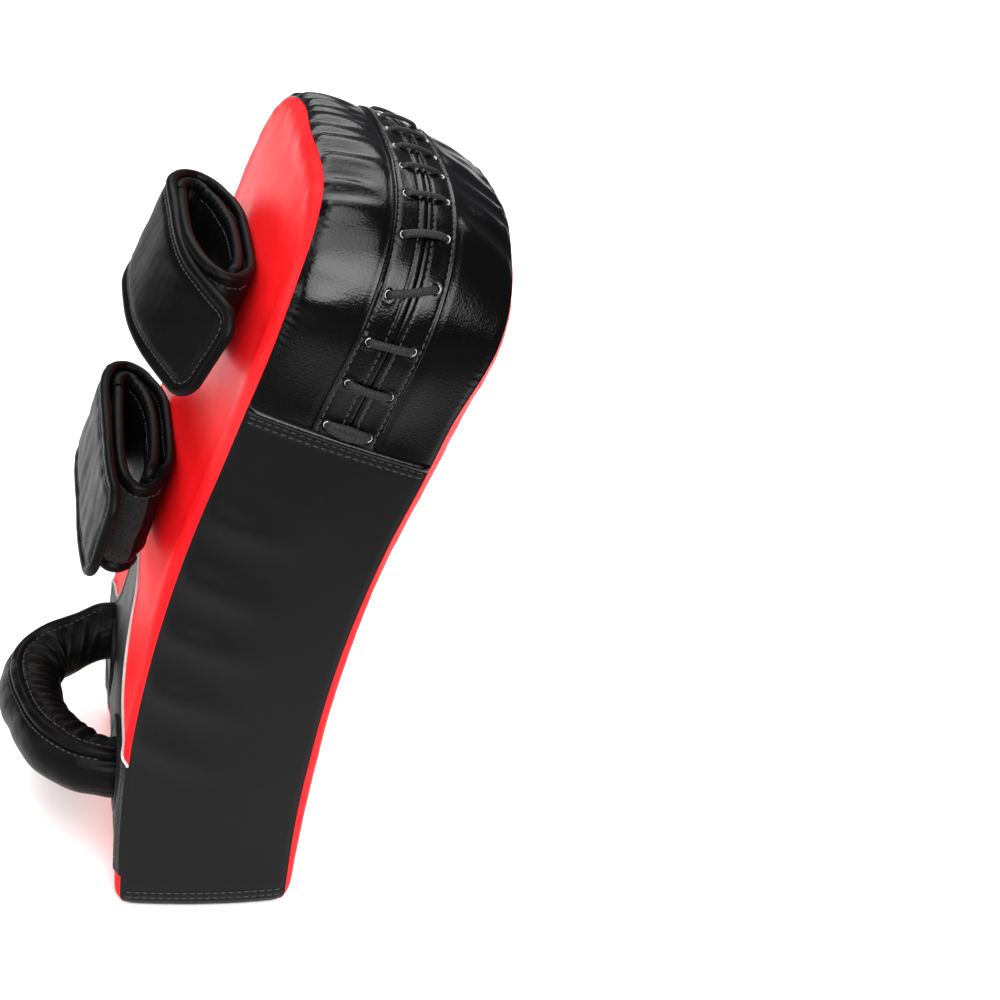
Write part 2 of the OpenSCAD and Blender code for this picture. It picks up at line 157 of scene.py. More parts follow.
def fade(x, start, end):
    """1 up to start, 0 from end on, smooth in between."""
    t = np.clip((x - start) / (end - start), 0, 1)
    return 1 - t * t * (3 - 2 * t)


def settle(e, reach):
    """0 at an edge, rising towards 1 well inside it."""
    return 1 - np.exp(-e / reach)


def over_top(d, start, end):
    """0 low down on both sides, 1 over the pad's top."""
    return (1 - fade(d, start, end)) * (1 - fade(RIM_LENGTH - d, start, end))


def unit(v):
    return v / np.maximum(np.linalg.norm(v, axis=-1, keepdims=True), 1e-9)


def distances(path):
    """Distance run along a path at each of its points."""
    return np.concatenate([[0], np.cumsum(np.linalg.norm(np.diff(path, axis=0), axis=1))])


def averaged(values, n):
    return np.convolve(np.pad(values, n // 2, "edge"), np.ones(n) / n, "valid")


def headings(path, n):
    """Direction of a path in its first two coordinates, averaged over n points."""
    turn = unit(np.gradient(path, axis=0))
    return unit(np.stack([averaged(turn[:, i], n) for i in (0, 1)], -1))


RIM_D, RIM_X, RIM_S, RIM_NX, RIM_NS, RIM_LENGTH = rim_table()
SEAM_LEFT = float(np.interp(SEAM_S, RIM_S[: len(RIM_S) // 2], RIM_D[: len(RIM_S) // 2]))
SEAM_RIGHT = RIM_LENGTH - SEAM_LEFT


def rim(d, out=0.0):
    """x and s of the rim at d, moved outward by out."""
    return (
        np.interp(d, RIM_D, RIM_X) + out * np.interp(d, RIM_D, RIM_NX),
        np.interp(d, RIM_D, RIM_S) + out * np.interp(d, RIM_D, RIM_NS),
    )


# ---- meshes ----
def mesh(name, points, faces, material, body="pad", slot=None, replaced=(), sharp=50):
    """A Blender object of points in millimetres, riding on a body."""
    data = bpy.data.meshes.new(name)
    data.from_pydata((np.asarray(points, float).reshape(-1, 3) * MM).tolist(), [], faces)
    data.update()
    data.polygons.foreach_set("use_smooth", [True] * len(data.polygons))
    data.set_sharp_from_angle(angle=math.radians(sharp))
    data.materials.append(material)
    obj = bpy.data.objects.new(name, data)
    bpy.context.scene.collection.objects.link(obj)
    if body:
        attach(obj, body)
    if replaced:
        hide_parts(*replaced)
    return obj


def quads(rows, cols, first=0, flip=False, wrap=False):
    i, j = grid(np.arange(rows - 1), np.arange(cols if wrap else cols - 1))
    i, j = i.ravel(), j.ravel()
    k = (j + 1) % cols
    ids = np.stack([i * cols + j, i * cols + k, (i + 1) * cols + k, (i + 1) * cols + j], -1) + first
    return (ids[:, ::-1] if flip else ids).tolist()


def caps(rows, cols, flip=False):
    """End faces of a tube of rows rings."""
    first, last = list(range(cols)), [(rows - 1) * cols + j for j in range(cols)]
    return [first, last[::-1]] if flip else [first[::-1], last]


def grid_shell(outer, inner, flip=False):
    """Points and faces of a closed shell between two open grids, borders joined."""
    rows, cols = outer.shape[:2]
    n = rows * cols
    faces = quads(rows, cols, 0, flip) + quads(rows, cols, n, not flip)
    ring = (
        list(range(cols))
        + [i * cols + cols - 1 for i in range(1, rows)]
        + [(rows - 1) * cols + j for j in range(cols - 2, -1, -1)]
        + [i * cols for i in range(rows - 2, 0, -1)]
    )
    for a, b in zip(ring, ring[1:] + ring[:1]):
        faces.append([a, a + n, b + n, b] if not flip else [a, b, b + n, a + n])
    return np.concatenate([outer.reshape(-1, 3), inner.reshape(-1, 3)]), faces


def disc_shell(outer, inner, flip=False):
    """Points and faces of a closed shell of two disc-like grids: rows are closed loops towards a hub."""
    rows, cols = outer.shape[:2]
    n = rows * cols
    faces = quads(rows, cols, 0, flip, True) + quads(rows, cols, n, not flip, True)
    last = (rows - 1) * cols
    hub = list(range(last, last + cols))
    faces.append(hub if not flip else hub[::-1])
    faces.append([v + n for v in (hub[::-1] if not flip else hub)])
    for j in range(cols):
        k = (j + 1) % cols
        faces.append([j, j + n, k + n, k] if not flip else [j, k, k + n, j + n])
    return np.concatenate([outer.reshape(-1, 3), inner.reshape(-1, 3)]), faces


def joined(parts):
    """Several (points, faces) as one."""
    points, faces, first = [], [], 0
    for p, f in parts:
        p = np.asarray(p, float).reshape(-1, 3)
        points.append(p)
        faces += [[v + first for v in q] for q in f]
        first += len(p)
    return np.concatenate(points), faces


def refined(stops, steps):
    """Values from stops[0] to stops[-1], in steps of at most steps[i] between stops i and i + 1."""
    values = [stops[0]]
    for a, b, step in zip(stops, stops[1:], steps):
        n = max(1, math.ceil(abs(b - a) / step))
        values += [a + (b - a) * (i + 1) / n for i in range(n)]
    return np.array(values)


CAPSULE_SIDES, CAPSULE_RINGS = 6, 5


def stitches(path, normals, pitch=4.0, length=3.0, radius=0.36, seed=0, lift=0.1):
    """A row of thread stitches along a path on a surface, each dipping in at both ends."""
    path, normals = np.asarray(path, float), unit(np.asarray(normals, float))
    run = distances(path)
    count = int((run[-1] - length) // pitch) + 1
    if count < 1:
        return np.zeros((0, 3)), []
    rng = np.random.default_rng(seed)
    mid = (run[-1] - (count - 1) * pitch) / 2 + pitch * np.arange(count)

    def sample(values, d):
        return np.stack([np.interp(d, run, values[:, i]) for i in range(3)], -1)

    centre = sample(path, mid)
    along = unit(sample(path, mid + length / 2) - sample(path, mid - length / 2))
    up = sample(normals, mid)
    up = unit(up - (up * along).sum(-1, keepdims=True) * along)
    across = np.cross(up, along)
    skew = rng.normal(0, 0.05, count)[:, None]
    along, across = along + skew * across, across - skew * along
    t = np.linspace(-1, 1, CAPSULE_RINGS)
    size = np.sqrt(np.maximum(1 - (0.92 * t) ** 4, 0.02))
    a = np.arange(CAPSULE_SIDES) * 2 * math.pi / CAPSULE_SIDES
    shape = np.stack(
        [
            np.repeat(t * length / 2, CAPSULE_SIDES),
            np.outer(size, np.cos(a)).ravel() * radius,
            np.outer(size, np.sin(a)).ravel() * radius + np.repeat(lift - 0.75 * radius * t**4, CAPSULE_SIDES),
        ],
        -1,
    )
    points = (
        centre[:, None]
        + shape[None, :, :1] * along[:, None]
        + shape[None, :, 1:2] * across[:, None]
        + shape[None, :, 2:] * up[:, None]
    )
    one = quads(CAPSULE_RINGS, CAPSULE_SIDES, 0, True, True) + caps(CAPSULE_RINGS, CAPSULE_SIDES, True)
    each = CAPSULE_SIDES * CAPSULE_RINGS
    faces = [[v + i * each for v in f] for i in range(count) for f in one]
    return points.reshape(-1, 3), faces


def sewn(point_at, lift, *how):
    """A row of stitches on a surface: point_at gives the row's points at a height over it."""
    path = point_at(lift)
    return stitches(path, point_at(lift + 1) - path, *how)


# ---- materials ----
class Shader:
    """A node-built material around one Principled shader, textured in object space."""

    def __init__(self, name, color, roughness, **sockets):
        self.material = bpy.data.materials.new(name)
        self.material.use_nodes = True
        self.tree = self.material.node_tree
        self.main = self.tree.nodes["Principled BSDF"]
        self.main.inputs["Base Color"].default_value = (*color, 1)
        self.main.inputs["Roughness"].default_value = roughness
        for key, value in sockets.items():
            self.main.inputs[key.replace("_", " ")].default_value = value
        self.space = self.add("ShaderNodeTexCoord").outputs["Object"]

    def add(self, kind, settings=(), **inputs):
        node = self.tree.nodes.new(kind)
        for key, value in dict(settings).items():
            setattr(node, key, value)
        for key, value in inputs.items():
            numbered = key[0] == "i" and key[1:].isdigit()
            socket = node.inputs[int(key[1:]) if numbered else key.replace("_", " ")]
            if isinstance(value, bpy.types.NodeSocket):
                self.tree.links.new(value, socket)
            else:
                socket.default_value = value
        return node

    def noise(self, scale, detail=3.0, rough=0.5):
        node = self.add("ShaderNodeTexNoise", Vector=self.space, Scale=scale, Detail=detail, Roughness=rough)
        return node.outputs["Fac"]

    def cells(self, scale, feature="SMOOTH_F1"):
        node = self.add("ShaderNodeTexVoronoi", {"feature": feature}, Vector=self.space, Scale=scale)
        if feature == "SMOOTH_F1":
            node.inputs["Smoothness"].default_value = 0.6
        return node.outputs["Distance"]

    def span(self, value, low, high, a=0.0, b=1.0):
        node = self.add("ShaderNodeMapRange", Value=value, From_Min=low, From_Max=high, To_Min=a, To_Max=b)
        return node.outputs["Result"]

    def blend(self, a, share_a, b, share_b):
        return self.math("ADD", self.math("MULTIPLY", a, share_a), self.math("MULTIPLY", b, share_b))

    def math(self, operation, a, b=0.0):
        return self.add("ShaderNodeMath", {"operation": operation}, i0=a, i1=b).outputs[0]

    def tint(self, factor, dark, light):
        node = self.add("ShaderNodeMix", {"data_type": "RGBA"}, Factor=factor, i6=(*dark, 1), i7=(*light, 1))
        self.tree.links.new(node.outputs[2], self.main.inputs["Base Color"])

    def rough(self, factor, low, high):
        self.tree.links.new(self.span(factor, 0.3, 0.7, low, high), self.main.inputs["Roughness"])

    def relief(self, *layers):
        """Bump of (height socket, depth in mm) layers, one on another."""
        normal = None
        for height, depth in layers:
            node = self.add("ShaderNodeBump", Height=height, Distance=depth * MM, Strength=1.0)
            if normal:
                self.tree.links.new(normal, node.inputs["Normal"])
            normal = node.outputs["Normal"]
        self.tree.links.new(normal, self.main.inputs["Normal"])


def shade(color, factor):
    return tuple(c * factor for c in color)


def leather(name, color, low, high, grain, crease, pebble=1100, polish=None, **sockets):
    """Grained synthetic leather, of roughness low to high; polish makes its sheen rise with height."""
    m = Shader(name, color, low, **sockets)
    m.tint(m.blend(m.noise(14, 4, 0.55), 0.7, m.noise(420, 3), 0.3), shade(color, 0.78), shade(color, 1.2))
    m.rough(m.blend(m.noise(30, 5, 0.6), 0.75, m.noise(700, 2), 0.25), low, high)
    m.relief((m.noise(160, 5, 0.6), crease), (m.cells(pebble), grain), (m.noise(2600, 2), grain * 0.35))
    if polish:
        height = m.add("ShaderNodeSeparateXYZ", Vector=m.space).outputs["Z"]
        m.tree.links.new(m.span(height, *polish), m.main.inputs["Specular IOR Level"])
    return m.material


RED = leather("red_leather", (0.88, 0.012, 0.016), 0.36, 0.46, 0.05, 0.05, polish=(0.20, 0.34, 0.03, 0.40))
BLACK = leather("matte_black_leather", (0.0036, 0.0036, 0.0040), 0.38, 0.48, 0.06, 0.05, Specular_IOR_Level=0.17)
GLOSS = leather(
    "gloss_black_leather", (0.0016, 0.0016, 0.0018), 0.15, 0.23, 0.07, 0.06, 900, Specular_IOR_Level=0.32
)
STRAP = leather("soft_black_leather", (0.0030, 0.0028, 0.0029), 0.34, 0.44, 0.06, 0.07, Specular_IOR_Level=0.08)


def thread_material(name, color):
    m = Shader(name, color, 0.5, Sheen_Weight=0.15)
    m.tint(m.noise(900, 2), shade(color, 0.6), shade(color, 1.5))
    m.relief((m.noise(3500, 2), 0.08))
    return m.material


THREAD = thread_material("black_thread", (0.013, 0.013, 0.014))
DARK_THREAD = thread_material("waxed_black_thread", (0.003, 0.003, 0.0032))


def cord_material():
    color = (0.006, 0.006, 0.0064)
    m = Shader("braided_cord", color, 0.5, Sheen_Weight=0.06, Sheen_Roughness=0.4, Specular_IOR_Level=0.35)
    m.tint(m.noise(1500, 3), shade(color, 0.5), shade(color, 1.8))
    m.relief((m.cells(1700, "F1"), 0.25), (m.noise(5000, 2), 0.08))
    return m.material


def cloth_material(name, color, pitch, depth):
    """Plain weave: two crossed sets of threads."""
    m = Shader(name, color, 0.9, Sheen_Weight=0.25, Sheen_Roughness=0.5)

    def threads(axis):
        wave = {"Vector": m.space, "Scale": 1 / (pitch * MM) / 3.14, "Distortion": 1.5, "Detail": 2.0}
        return m.add("ShaderNodeTexWave", {"bands_direction": axis}, **wave).outputs["Fac"]

    weave = m.math("MAXIMUM", threads("X"), threads("Z"))
    m.tint(m.math("MULTIPLY", weave, m.noise(60, 4)), shade(color, 0.6), shade(color, 1.7))
    m.relief((weave, depth), (m.noise(3000, 3), depth * 0.4))
    return m.material


def tape_material(name, color, scale, depth):
    """Hook or loop tape: dense tiny tufts."""
    m = Shader(name, color, 0.8, Sheen_Weight=0.05, Sheen_Roughness=0.6, Specular_IOR_Level=0.2)
    tuft = m.cells(scale, "F1")
    m.tint(m.math("MULTIPLY", tuft, 1.4), shade(color, 2.0), shade(color, 0.4))
    m.relief((tuft, depth), (m.noise(scale * 2, 4, 0.7), depth * 0.7))
    return m.material


def foam_material(name, color):
    m = Shader(name, color, 0.92)
    m.tint(m.noise(40, 6, 0.7), shade(color, 0.8), shade(color, 1.12))
    m.relief((m.cells(1300, "F1"), 0.35), (m.noise(300, 6, 0.7), 0.3))
    return m.material


CORD = cord_material()
LINING = cloth_material("black_lining_cloth", (0.014, 0.014, 0.015), 0.7, 0.15)
RAW_EDGE = cloth_material("pale_backing_cloth", (0.50, 0.49, 0.48), 0.5, 0.2)
HOOKS = tape_material("hook_tape", (0.0060, 0.0060, 0.0066), 900, 0.5)
LOOPS = tape_material("loop_tape", (0.0048, 0.0048, 0.0052), 600, 0.4)
FOAM = foam_material("grey_foam", (0.36, 0.37, 0.39))
BLUE_FOAM = foam_material("blue_foam", (0.10, 0.24, 0.46))
HOLE = Shader("hole_shadow", (0.004, 0.004, 0.004), 0.9).material

# ---- front and back panels ----
seam_wave = waves(11, 4, 75, 150)


def seam_shift(d, side):
    """How far the sewn seam wanders off its line, mostly round the top corners."""
    return side * 0.9 * seam_wave(d, side * 200.0) * over_top(d, 250, 330)


pucker_field = waves(23, 9, 9, 26)
soft_field = waves(31, 8, 60, 170)


def outline_points(inset):
    """x and s round the whole outline: the rim, then the foot."""
    x, s = rim(np.linspace(0, RIM_LENGTH, int(RIM_LENGTH / 2.2)), -inset)
    foot = np.linspace(0, 2 * BASE_HALF, int(2 * BASE_HALF / 3))[1:-1]
    x_foot = (BASE_HALF - inset) * (1 - foot / BASE_HALF)
    return np.concatenate([x, x_foot]), np.concatenate([s, np.zeros_like(x_foot)])


def rim_distance(x, s):
    """Distance of points to the rim's sides and top, and d of the nearest rim point."""
    near, where = np.empty(x.size), np.empty(x.size)
    flat_x, flat_s = x.ravel(), s.ravel()
    rx, rs, rd = RIM_X[::3], RIM_S[::3], RIM_D[::3]
    for a in range(0, x.size, 4000):
        gap = np.hypot(flat_x[a : a + 4000, None] - rx, flat_s[a : a + 4000, None] - rs)
        k = gap.argmin(1)
        near[a : a + 4000] = gap[np.arange(len(k)), k]
        where[a : a + 4000] = rd[k]
    return near.reshape(x.shape), where.reshape(x.shape)


RINGS = np.concatenate([[1, 0.9935, 0.986, 0.977, 0.966, 0.952, 0.935], np.linspace(0.915, 0.04, 30)])


def panel_off(x, s, side, e, d):
    """Distance of a panel's outer face off the middle surface, before the side is applied."""
    full = BACK_CROWN if side > 0 else FACE_CROWN
    e = np.maximum(e - SEAM_INSET, 0)
    roll = -SEAM_DROP * bump(e, 0, 3.0) + 1.2 * bump(e, 7.5, 6.0) * settle(e, 1.5)
    high = over_top(d, 255, 320)
    pucker = pucker_field(d, e * 0.5 + side * 90) * np.exp(-e / 11) * (0.20 + 0.35 * high) * (1 - bump(e, 0, 5))
    gather = 0.18 * np.sin(d * 2 * math.pi / 4.1 + 1.5 * pucker_field(d, 7.0)) * bump(e, 2.6, 1.8) * high
    soft = 0.7 * soft_field(x + 300 * side, s) * settle(e, 30)
    share = 1 - 0.9 * fade(s, 140, 178) if side > 0 else fade(s, 330, 420)
    shift = side * seam_shift(d, side) * np.exp(-e / 10)
    return half_thick(s) + full * crown(x, s) * share + roll + pucker + gather + soft + shift


def panel_point(x, s, side, depth=0.0):
    e, d = rim_distance(x, s)
    off = panel_off(x, s, side, e, d) - tuck(s) - depth
    squeeze = (half_width(s) - tuck(s)) / half_width(s)
    return at(x * squeeze, s, side * off)


def panel(name, side, node):
    x0, s0 = outline_points(SEAM_INSET)
    hub = LENGTH / 2
    r = RINGS[:, None]
    x, s = x0 * r, hub + (s0 - hub) * r
    outer, inner = panel_point(x, s, side), panel_point(x, s, side, SKIN)
    points, faces = disc_shell(outer, inner, flip=side < 0)
    mesh(name, points, faces, RED, slot="red_leather", replaced=[node])


panel("strike_face_leather", -1, "strike_face_panel")
panel("arm_side_leather", 1, "back_panel")


# ---- side and top walls ----
def random_folds(seed, start, end, gap, slant, reach, wide=5.4):
    """Creases that run in from a panel seam: (d, height, half width, slant, length)."""
    rng = np.random.default_rng(seed)
    folds, d = [], start
    while d < end:
        lean_by = slant * (1 if d < RIM_LENGTH / 2 else -1) + rng.uniform(-0.1, 0.1)
        high, half = rng.uniform(1.2, 2.2), wide * rng.uniform(0.85, 1.15)
        folds.append((d, high, half, lean_by, reach * rng.uniform(0.8, 1.15)))
        d += gap * rng.uniform(0.8, 1.25)
    return folds


BACK_FOLDS = random_folds(5, 395, RIM_LENGTH - 392, 16.5, 0.08, 38) + [(350, 1.0, 6.0, 0.15, 26)]
FRONT_FOLDS = random_folds(8, 398, RIM_LENGTH - 396, 20.5, 0.42, 46, 9.0)


def fold_height(d, e, folds):
    total = 0.0
    for at_d, high, wide, slant, reach in folds:
        across = (d - at_d - slant * e) / wide
        ridge = np.exp(-(across**2)) - 0.6 * bump(across, 1.5, 0.8)
        total = total + high * ridge * fade(e, reach * 0.25, reach)
    return total * settle(e, 2.2)


def wall_base(d, off):
    """Outset of the plain stuffed wall, with its edge rolled into the panel seam."""
    half = half_thick(rim(d)[1])
    e = half - np.abs(off)
    corner = over_top(d, 300, 345)
    gather = 0.32 * np.sin(d * 2 * math.pi / 3.3 + 2 * pucker_field(d, 50.0)) * bump(e, 2.8, 2.0) * corner
    puff = 3.6 * corner * settle(e, 5) * (1 - np.where(off > 0, 0.35, 1.15) * (off / half) ** 2)
    return SIDE_SWELL * (1 - (off / half) ** 2) - SEAM_INSET * bump(e, 0, 2.4) + gather + puff, e


def wall_point(d, off, out):
    """Row-frame point of the wall at d along the rim, off the middle surface, out of the rim."""
    x, s = rim(d, out)
    s = np.maximum(s, 0.0)
    s_rim = rim(d)[1]
    half = half_thick(s_rim)
    turn = tuck(s_rim)
    shift = seam_shift(d, 1) * bump(off, half, 12) + seam_shift(d, -1) * bump(off, -half, 12)
    narrowed = off * (half - turn - SEAM_DROP) / half + shift
    return at(np.sign(x) * np.maximum(np.abs(x) - turn, 0), s, narrowed)


def wall_sheet(d, off, out, flip):
    """A sheet of leather whose outer face has the outset out."""
    return grid_shell(wall_point(d, off, out), wall_point(d, off * 0.985, out - SKIN), flip)


lower_field = waves(41, 6, 45, 120)
# soft folds from the back seam: (distance up the rim, height, half width, slant)
LOWER_FOLDS = [
    (106, 2.4, 8, 0.30), (137, 3.4, 8.5, 0.24), (169, 3.0, 8, 0.20), (200, 3.5, 9.5, 0.2), (233, 2.4, 8, 0.1),
]
FOOT_ROWS, WELT_ROWS = (8.0, 11.4), (SEAM_LEFT - 3.6, SEAM_LEFT - 6.4)


def lower_out(d, off):
    """Outset of the lower wall, with its folds and the grooves of its stitch rows."""
    base, e = wall_base(d, off)
    up = np.minimum(d, RIM_LENGTH - d)
    folds = 0.0
    from_seam = half_thick(up) - off
    for centre, high, wide, tilt in LOWER_FOLDS:
        fold = high * bump(up, centre - tilt * from_seam, wide)
        folds = folds + fold * fade(from_seam, 10, 62) * settle(from_seam, 6)
    soft = 0.45 * lower_field(up, off) * settle(e, 14)
    rows = 0.25 * bump(up, 9.7, 1.2) - bump(up, SEAM_LEFT - 1.8, 0.9)
    for row in FOOT_ROWS:
        rows = rows - 0.40 * bump(up, row, 0.9)
    for row in WELT_ROWS:
        rows = rows - 0.35 * bump(up, row, 0.8)
    rows = rows * (1 - bump(e, 0, 3))
    return base + folds + soft + rows


def lower_wall(name, side, node):
    up = refined([0, 9, 12, 100, 278, 290.5], [0.9, 0.5, 4, 2.8, 0.55])
    up[-1] = SEAM_LEFT + 1.5
    d = up if side < 0 else RIM_LENGTH - up
    f = refined([-1, -0.9, 0.9, 1], [0.02, 0.05, 0.02])
    grid_d, grid_f = grid(d, f)
    off = grid_f * half_thick(rim(grid_d)[1])
    out = lower_out(grid_d, off)
    mesh(name, *wall_sheet(grid_d, off, out, side > 0), BLACK, slot="black_leather", replaced=[node])


lower_wall("left_wall_leather", -1, "left_side_wall")
lower_wall("right_wall_leather", 1, "right_side_wall")


def top_taper(d):
    """0 at the two wall seams, 1 a little further up."""
    up = np.minimum(d, RIM_LENGTH - d) - SEAM_LEFT
    return 1 - fade(up, -2, 9)


wrinkle_field = waves(47, 8, 24, 70)


def seam_dip(d):
    """How far the upper parts' lower ends turn in under the welt, 0 to 1."""
    return fade(np.minimum(d, RIM_LENGTH - d) - SEAM_LEFT, -1.0, 1.4)


def strip_out(d, off):
    """Outset of the two upper strips, creased at their panel seams and calm at the placket."""
    base, e = wall_base(d, off)
    folds = np.where(off > 0, fold_height(d, e, BACK_FOLDS), fold_height(d, e, FRONT_FOLDS) * 0.8)
    calm = 1 - fade(np.abs(off), PLACKET_HALF - 2, PLACKET_HALF + 7)
    soft = 0.5 * wrinkle_field(d, off) * settle(e, 12)
    groove = 0.45 * bump(np.abs(off), PLACKET_HALF + 0.4, 1.0)
    return base + 0.7 + (folds + soft) * calm * top_taper(d) - groove - 1.9 * seam_dip(d)


def strip(name, side, node):
    d = np.arange(SEAM_LEFT - 2.5, SEAM_RIGHT + 2.5, 1.35)
    d[-1] = SEAM_RIGHT + 2.5
    f = refined([0, 0.12, 0.85, 1], [0.03, 0.05, 0.022])
    grid_d, grid_f = grid(d, f)
    half = half_thick(rim(grid_d)[1])
    off = side * (PLACKET_HALF - 4 + grid_f * (half - PLACKET_HALF + 4))
    out = strip_out(grid_d, off)
    mesh(name, *wall_sheet(grid_d, off, out, side < 0), GLOSS, slot="gloss_leather", replaced=[node])


strip("top_back_strip_leather", 1, "top_wall_back_strip")
strip("top_front_strip_leather", -1, "top_wall_front_strip")

# ---- laced placket ----
HOLE_OFF = 10.6
LACE_D = [SEAM_LEFT + LACE_START + i * LACE_PITCH for i in range(STITCHES)]


def hole_d(i, side):
    """d of a stitch's hole; from the third stitch on, the lace slants as it crosses the slit."""
    slant = 0.0 if i < 2 else 1.0 if i == 2 else 4.0 if i == 3 else 2.8
    return LACE_D[i] - side * slant


placket_field = waves(53, 7, 18, 50)


def placket_out(d, off):
    """Outset of the raised placket: rolled outer edge, stitch grooves, edge at the slit, dented holes."""
    base, _ = wall_base(d, off)
    a = np.abs(off)
    edge = -1.1 * fade(PLACKET_HALF - a, 0.0, 1.1)
    lip = -0.9 * fade(a - SLIT_HALF, -0.1, 0.45) + 0.5 * bump(a, SLIT_HALF + 1.7, 1.5)
    rows = -0.42 * bump(a, PLACKET_HALF - 2.6, 0.8) - 0.38 * bump(a, 3.7, 0.7)
    rows = rows + 0.3 * bump(a, PLACKET_HALF - 1.2, 0.8)
    out = base + 0.7 + 1.2 - 3.0 * seam_dip(d) + edge + lip + rows + 0.28 * placket_field(d, off) * bump(a, 10, 5)
    for i in range(STITCHES):
        for side in (-1, 1):
            gap = np.hypot(d - hole_d(i, side), off - side * HOLE_OFF)
            out = out - 1.5 * np.exp(-((gap / 1.6) ** 4)) + 0.3 * bump(gap, 2.9, 1.1)
            if i > 1:
                tug = (d - hole_d(i, side) - 0.55 * (a - HOLE_OFF)) / 1.1
                out = out + 0.4 * np.exp(-(tug**2)) * (np.sign(off) == side) * bump(a, HOLE_OFF + 3.4, 2.2)
    return out


def placket(name, side, node):
    d = np.arange(SEAM_LEFT - 2.5, SEAM_RIGHT + 2.5, 0.95)
    d[-1] = SEAM_RIGHT + 2.5
    a = refined([SLIT_HALF, 1.2, 3.2, 5, 7, 13, PLACKET_HALF], [0.2, 0.5, 0.6, 0.4, 0.75, 0.4])
    grid_d, grid_a = grid(d, a)
    out = placket_out(grid_d, side * grid_a)
    outer, inner = wall_point(grid_d, side * grid_a, out), wall_point(grid_d, side * grid_a, out - 1.3)
    points, faces = grid_shell(outer, inner, flip=side < 0)
    mesh(name, points, faces, GLOSS, slot="gloss_leather", replaced=[node])


placket("placket_back_leather", 1, "placket_back")
placket("placket_front_leather", -1, "placket_front")


# ---- seam welts: the upper wall's folded edge over the lower wall ----
def welt(name, side, node):
    up = refined([-2.0, 2.0], [0.18])
    f = np.linspace(-0.985, 0.985, 110)
    grid_u, grid_f = grid(up, f)
    d = SEAM_LEFT + grid_u if side < 0 else RIM_LENGTH - SEAM_LEFT - grid_u
    half = half_thick(rim(d)[1])
    off = grid_f * half
    base, e = wall_base(d, off)
    arc = np.sqrt(np.maximum(1 - (grid_u / 2.05) ** 2, 0))
    rise = base + 0.6 + 2.4 * arc * (1 - 0.6 * np.exp(-e / 3)) + 0.10 * wrinkle_field(off, d)
    points, faces = grid_shell(wall_point(d, off, rise), wall_point(d, off * 0.99, base - 0.8), flip=side > 0)
    mesh(name, points, faces, GLOSS, slot="gloss_leather", replaced=[node])


welt("left_welt_leather", -1, "left_seam_welt")
welt("right_welt_leather", 1, "right_seam_welt")


# ---- bottom panel ----
def bottom_panel():
    a = circle(180)
    half_x, half_y = BASE_HALF - FOOT_TUCK - 0.2, float(half_thick(0)) - FOOT_TUCK - SEAM_DROP - 0.2
    square = (np.abs(np.cos(a)) ** 20 + np.abs(np.sin(a)) ** 20) ** (-1 / 20)
    x0, y0 = np.cos(a) * square * half_x, np.sin(a) * square * half_y
    r = np.array([1, 0.99, 0.975, 0.95, 0.9, 0.75, 0.55, 0.35, 0.15])[:, None]
    z = np.broadcast_to(0.55 * np.exp(-((1 - r) / 0.015)), (len(r), len(a)))
    low = np.stack([x0 * r, y0 * r, z], -1)
    points, faces = disc_shell(low, low + [0, 0, SKIN], flip=True)
    mesh("bottom_leather", points, faces, BLACK, slot="black_leather", replaced=["bottom_panel"])


bottom_panel()

# ---- foam layers and lacing liner, inside the cover ----
def foam_layer(name, node, front, back, inset, material):
    """A foam slab between two levels: (side of the pad, crown share, depth in from the cover)."""
    x0, s0 = outline_points(inset)
    s0 = np.maximum(s0, 3)
    hub = LENGTH / 2
    r = np.concatenate([[1, 0.985, 0.965, 0.93], np.linspace(0.88, 0.05, 14)])[:, None]
    x, s = x0 * r, hub + (s0 - hub) * r
    edge = np.minimum(1 - r, 0.06) / 0.06

    def level(spec):
        side, share, depth = spec
        full = BACK_CROWN if side > 0 else FACE_CROWN
        return side * (half_thick(s) + share * full * crown(x, s) * (1 if side > 0 else fade(s, 330, 420)) - depth)

    lo, hi = level(front), level(back)
    soften = 2.5 * (1 - edge) ** 2
    lo, hi = lo + soften, hi - soften
    hi = hi - 0.5 * (1 + soft_field(x, s)) * 0.4
    obj = mesh(name, *disc_shell(at(x, s, hi), at(x, s, lo)), material, slot="foam", replaced=[node])


foam_layer("strike_foam_slab", "strike_foam", (-1, 1, 5.0), (-1, 0, 30.2), 4.0, FOAM)
foam_layer("core_foam_slab", "core_foam", (-1, 0, 31.2), (1, 0, 19.2), 9.0, BLUE_FOAM)
foam_layer("back_board_slab", "back_board", (1, 0, 18.2), (1, 1, 5.0), 4.0, FOAM)


def liner():
    d = np.arange(SEAM_LEFT + 1, SEAM_RIGHT - 1, 3.0)
    off = np.linspace(-PLACKET_HALF + 1, PLACKET_HALF - 1, 15)
    grid_d, grid_o = grid(d, off)
    sag = 0.25 * wrinkle_field(grid_d, grid_o)
    points, faces = grid_shell(wall_point(grid_d, grid_o, -6.7 + sag), wall_point(grid_d, grid_o, -7.6 + sag))
    mesh("lacing_liner_cloth", points, faces, LINING, slot="lining_cloth", replaced=["lacing_liner"])


liner()


# ---- lace ----
def braid(run, angle):
    """Scale of a braided cord's section, for strands that cross round it."""
    turn = run * 2 * math.pi / 3.0
    return 1 + 0.2 * (np.abs(np.sin(2 * angle + turn)) + np.abs(np.sin(2 * angle - turn)) - 1.0)


